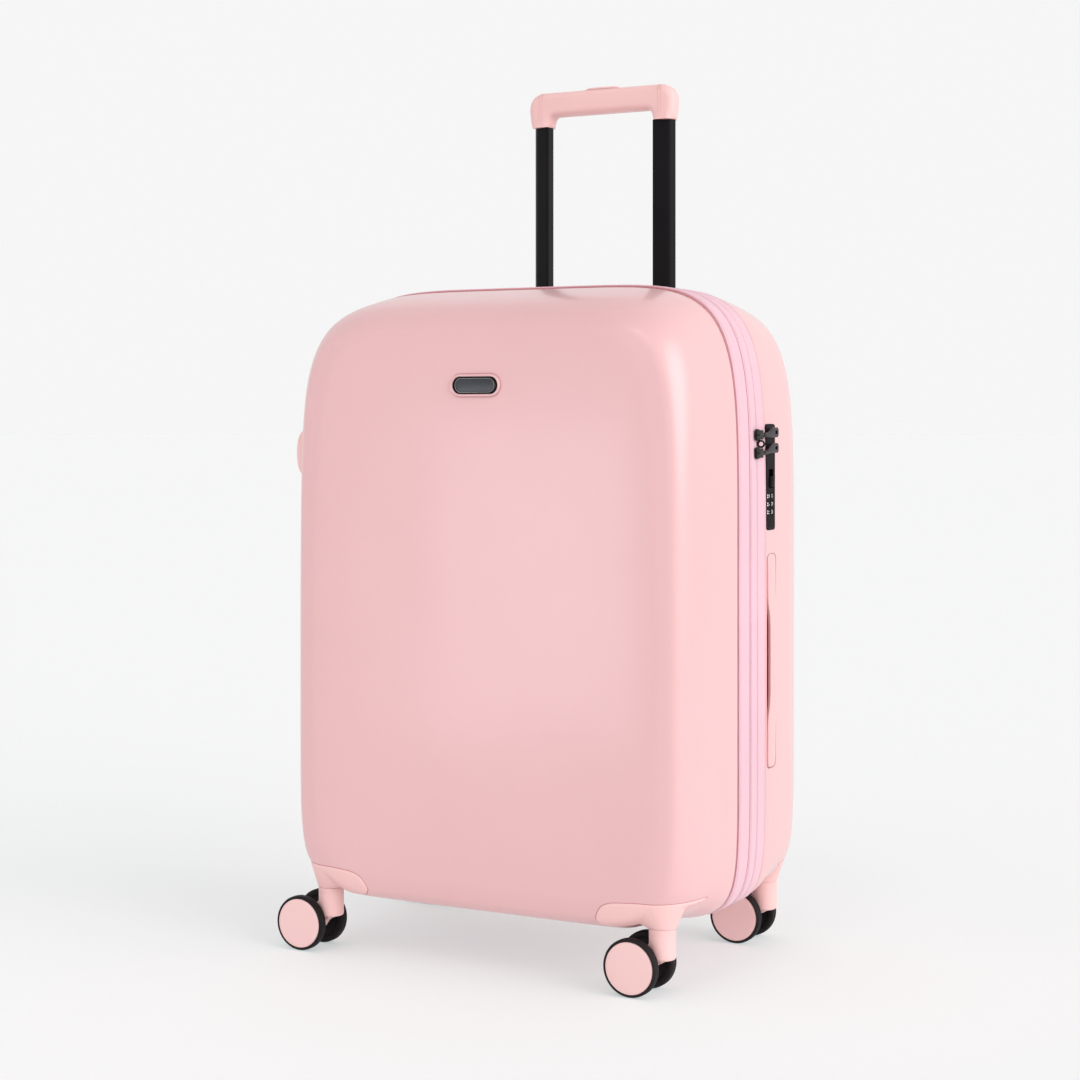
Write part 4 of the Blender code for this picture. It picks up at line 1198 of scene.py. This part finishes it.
def slider_ring():
    """The lock loop that stands between the two sliders."""
    centre = Vector((0.2372, 0.003, 0.522))
    way = Vector((0.5, -0.86, 0)).normalized()
    side, up = Vector((way.y, -way.x, 0)), Vector((0, 0, 1))
    path = [centre + (side * c + up * s) * 0.0031 for c, s in circle(40)]
    piece("slider_loop", tube_mesh(path, 0.001, closed=True, sides=12), SLIDER, "slider_upper")


lock_plate()
for number, z in enumerate(DIAL_HEIGHTS, 1):
    dial(number, z)
catch()
for tag in ("upper", "lower"):
    slider(tag)
    puller(tag)
slider_ring()


# ---- inside: binding, straps, buckle; outside: hinge cloth
belt("front_binding", ((-0.0012, -0.0043), (-0.0012, -0.0054), (-0.004, -0.0068), (-0.012, -0.0078),
                       (-0.0136, -0.0074), (-0.013, -0.0062), (-0.006, -0.005)),
     WEBBING, "front_half")
belt("rear_binding", ((0.0036, -0.0043), (0.0036, -0.0054), (0.006, -0.0068), (0.015, -0.0082),
                      (0.0164, -0.0078), (0.016, -0.0066), (0.008, -0.005)),
     WEBBING, "rear_half")


RIBBON_SECTION = ((-1, 0.3), (-0.96, 1.0), (-0.5, 1.15), (0.5, 1.15), (0.96, 1.0), (1, 0.3), (0.96, 0),
                  (-0.96, 0))


def ribbon(name, path, normals, width, thick):
    """Webbing along a path, lying flat on the surface whose normals are given."""
    path = [Vector(p) for p in path]
    rings = []
    for i, here in enumerate(path):
        along = (path[min(i + 1, len(path) - 1)] - path[max(i - 1, 0)]).normalized()
        up = Vector(normals[i]).normalized()
        across = along.cross(up).normalized()
        up = across.cross(along).normalized()
        rings.append([here + across * a * width / 2 + up * thick * h for a, h in RIBBON_SECTION])
    obj = piece(name, capped(rings), WEBBING, "rear_half", 50)
    layer, _, corners = uv_parts(obj)
    uv = [(far, side * width / 2) for far in run_length(path) for side, _ in RIBBON_SECTION]
    layer.data.foreach_set("uv", np.array(uv)[corners].ravel())


STRAP_Z = 0.37


def straps():
    """Packing straps on the floor of the rear lining, two a side, meeting at a buckle."""
    knots = ((0.204, 0.04, 0.0), (0.2026, 0.064, 0.01), (0.2, 0.086, 0.03), (0.188, 0.0972, 0.1),
             (0.165, 0.1003, 0.22), (0.12, 0.1012, 0.46), (0.08, 0.1008, 0.7), (0.048, 0.0996, 0.9),
             (0.03, 0.0985, 1.0))
    xs, ys, ts = curves(knots, 56)
    for tag, side, end in (("upper_left", -1, 0.505), ("lower_left", -1, 0.235), ("upper_right", 1, 0.505),
                           ("lower_right", 1, 0.235)):
        path, normals = [], []
        meet = STRAP_Z + (0.008 if end > STRAP_Z else -0.008)
        for x, y, t in zip(xs, ys, ts):
            sway = 0.0012 * math.sin(t * 9 + end * 30)
            path.append((side * x, y - abs(sway) * 0.5, end + (meet - end) * t))
            lean = float(smooth_step(0.176, 0.202, x))
            normals.append((-side * lean, -(1 - lean) - 0.05, 0))
        ribbon("strap_" + tag, path, normals, 0.025, 0.0012)


def buckle():
    """A side-release buckle: frame, tongue and its two springs."""
    frame_plan = rounded([(-0.008, 0.354), (0.03, 0.356), (0.034, 0.36), (0.034, 0.38),
                          (0.03, 0.384), (-0.008, 0.386), (-0.008, 0.38), (-0.004, 0.377),
                          (-0.004, 0.363), (-0.008, 0.36)], 0.003, 4)
    obj = piece("buckle_frame", prism(frame_plan, "Y", 0.0905, 0.098), LOCK, "rear_half", 40)
    round_edges(obj, 0.0014, 3, 50)
    tongue_plan = rounded([(-0.034, 0.36), (-0.03, 0.357), (-0.01, 0.357), (-0.006, 0.3545),
                           (0.004, 0.3535), (0.006, 0.356), (0.0, 0.362), (0.0, 0.378),
                           (0.006, 0.384), (0.004, 0.3865), (-0.006, 0.3855), (-0.01, 0.383),
                           (-0.03, 0.383), (-0.034, 0.38)], 0.0022, 4)
    obj = piece("buckle_tongue", prism(tongue_plan, "Y", 0.0915, 0.097), LOCK, "rear_half", 40)
    round_edges(obj, 0.001, 3, 50)


straps()
buckle()


def hinge_cloth():
    """The cloth fold that joins the two bands on the hinge side."""
    low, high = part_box("hinge_spine")
    fold = [(-0.2338, 0.0125), (-0.2348, 0.011), (-0.2372, 0.0082), (-0.24, 0.006), (-0.242, 0.0038),
            (-0.2426, 0.0013), (-0.242, -0.0012), (-0.24, -0.0034), (-0.2372, -0.0056),
            (-0.2348, -0.0084), (-0.2338, -0.0099)]
    section = np.stack(curves(fold, 41), 1)
    inner = section + np.array([0.0009, 0.0])
    loop = np.vstack([section, inner[::-1]])
    half, foot, head, below, above, _ = BAND_FORM
    middle = (foot + head) * MIDDLE_SHARE
    edge = -fold[0][0]
    rings = []
    for z in np.linspace(low.z, high.z, 60):
        near = min(z - low.z, high.z - z)
        pull = 1 - 0.6 * math.exp(-near / 0.012)
        power = above if z > middle else below
        far = (z - middle) / (head - middle) if z > middle else (middle - z) / (middle - foot)
        rim = 0.0004 - half * (1 - far ** power) ** (1 / power)
        rings.append([(rim + (x + edge) * pull, y, z) for x, y in loop])
    obj = piece("hinge_cloth", capped(rings), BAND, None, 60,
                instead="hinge_spine")
    layer, spots, corners = uv_parts(obj)
    layer.data.foreach_set("uv", spots[corners][:, 1:].ravel())
    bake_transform(obj)


hinge_cloth()


# ---- finishes of the CAD pieces that stay
def finish_nodes(mat, *names):
    for name in names:
        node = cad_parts[name]
        node.data.materials.clear()
        node.data.materials.append(mat)


finish_nodes(TUBE, "inner_tube_left", "inner_tube_right", "middle_tube_left", "middle_tube_right")
finish_nodes(STEEL, "outer_tube_left", "outer_tube_right", "tube_foot", *["axle_" + c[0] for c in CORNERS])


# ---- floor, light and camera
PALE = 0.921
PAPER = (0.54, 0.48, 0.48)
GLOW = (0.366, 0.43, 0.43)


def floor():
    """A wide pale floor that gives back the light of the studio."""
    mat = bpy.data.materials.new("studio_paper")
    mat.use_nodes = True
    nodes, links = mat.node_tree.nodes, mat.node_tree.links
    shader = nodes["Principled BSDF"]
    shader.inputs["Roughness"].default_value = 0.9
    shader.inputs["Specular IOR Level"].default_value = 0.0
    shader.inputs["Emission Color"].default_value = (*GLOW, 1)
    shader.inputs["Emission Strength"].default_value = 1.0
    speck = add(nodes, "TexNoise", Scale=40.0, Detail=2.0, Vector=add(nodes, "TexCoord").outputs["Object"])
    tint = tone(nodes, speck.outputs["Fac"], shade(PAPER, 0.998), PAPER)
    links.new(tint, shader.inputs["Base Color"])
    rings = [[(radius * c, radius * s, 0.0) for c, s in circle(96)] for radius in (60.0, 4.0, 1.0)]
    piece("studio_floor", rings_mesh(rings, cap_end=True), mat)


def toward(azimuth, height):
    a, h = math.radians(azimuth), math.radians(height)
    return Vector((math.cos(a) * math.cos(h), math.sin(a) * math.cos(h), math.sin(h)))


def studio_air(lobes):
    """Even pale light all round with soft brighter fields."""
    world = bpy.data.worlds.new("studio_air")
    world.use_nodes = True
    nodes, links = world.node_tree.nodes, world.node_tree.links
    way = add(nodes, "TexCoord").outputs["Generated"]
    total = None
    for azimuth, height, inner, outer, colour in lobes:
        dot = add(nodes, "VectorMath", operation="DOT_PRODUCT")
        links.new(way, dot.inputs[0])
        dot.inputs[1].default_value = toward(azimuth, height)
        field = add(nodes, "MapRange", interpolation_type="SMOOTHSTEP", Value=dot.outputs["Value"],
                    **{"From Min": math.cos(math.radians(outer)), "From Max": math.cos(math.radians(inner))})
        tinted = add(nodes, "VectorMath", operation="SCALE")
        tinted.inputs[0].default_value = colour
        links.new(field.outputs[0], tinted.inputs["Scale"])
        both = add(nodes, "VectorMath", operation="ADD")
        if total:
            links.new(total, both.inputs[0])
        else:
            both.inputs[0].default_value = (PALE, PALE, PALE)
        links.new(tinted.outputs[0], both.inputs[1])
        total = both.outputs[0]
    links.new(total, nodes["Background"].inputs["Color"])
    bpy.context.scene.world = world


def lamp(name, spot, target, size, power, colour=(1, 1, 1)):
    data = bpy.data.lights.new(name, "AREA")
    data.shape = "RECTANGLE"
    data.size, data.size_y = size
    data.energy = power
    data.color = colour
    obj = placed(name, data)
    obj.location = spot
    obj.rotation_euler = (Vector(target) - Vector(spot)).to_track_quat("-Z", "Y").to_euler()


floor()
studio_air(((-8, 16, 10, 36, (3.6, 3.6, 3.6)), (-85, 52, 3, 13, (2.2, 2.2, 2.2)),
            (0, 90, 20, 60, (-0.3, -0.3, -0.3))))
lamp("front_left_field", (-0.66, -1.55, 0.29), (0.08, -0.15, 0.4), (0.46, 0.56), 2.35, (0.95, 0.93, 1.0))

eye = bpy.data.cameras.new("eye")
eye.lens = 72.785
eye.sensor_width = 36.0
eye.shift_y = -0.116
camera = placed("eye", eye)
camera.location = (1.0937, -1.9887, 0.5509)
camera.rotation_euler = (math.pi / 2, 0, math.radians(29.05))
bpy.context.scene.camera = camera
bpy.context.scene.view_settings.view_transform = "Standard"
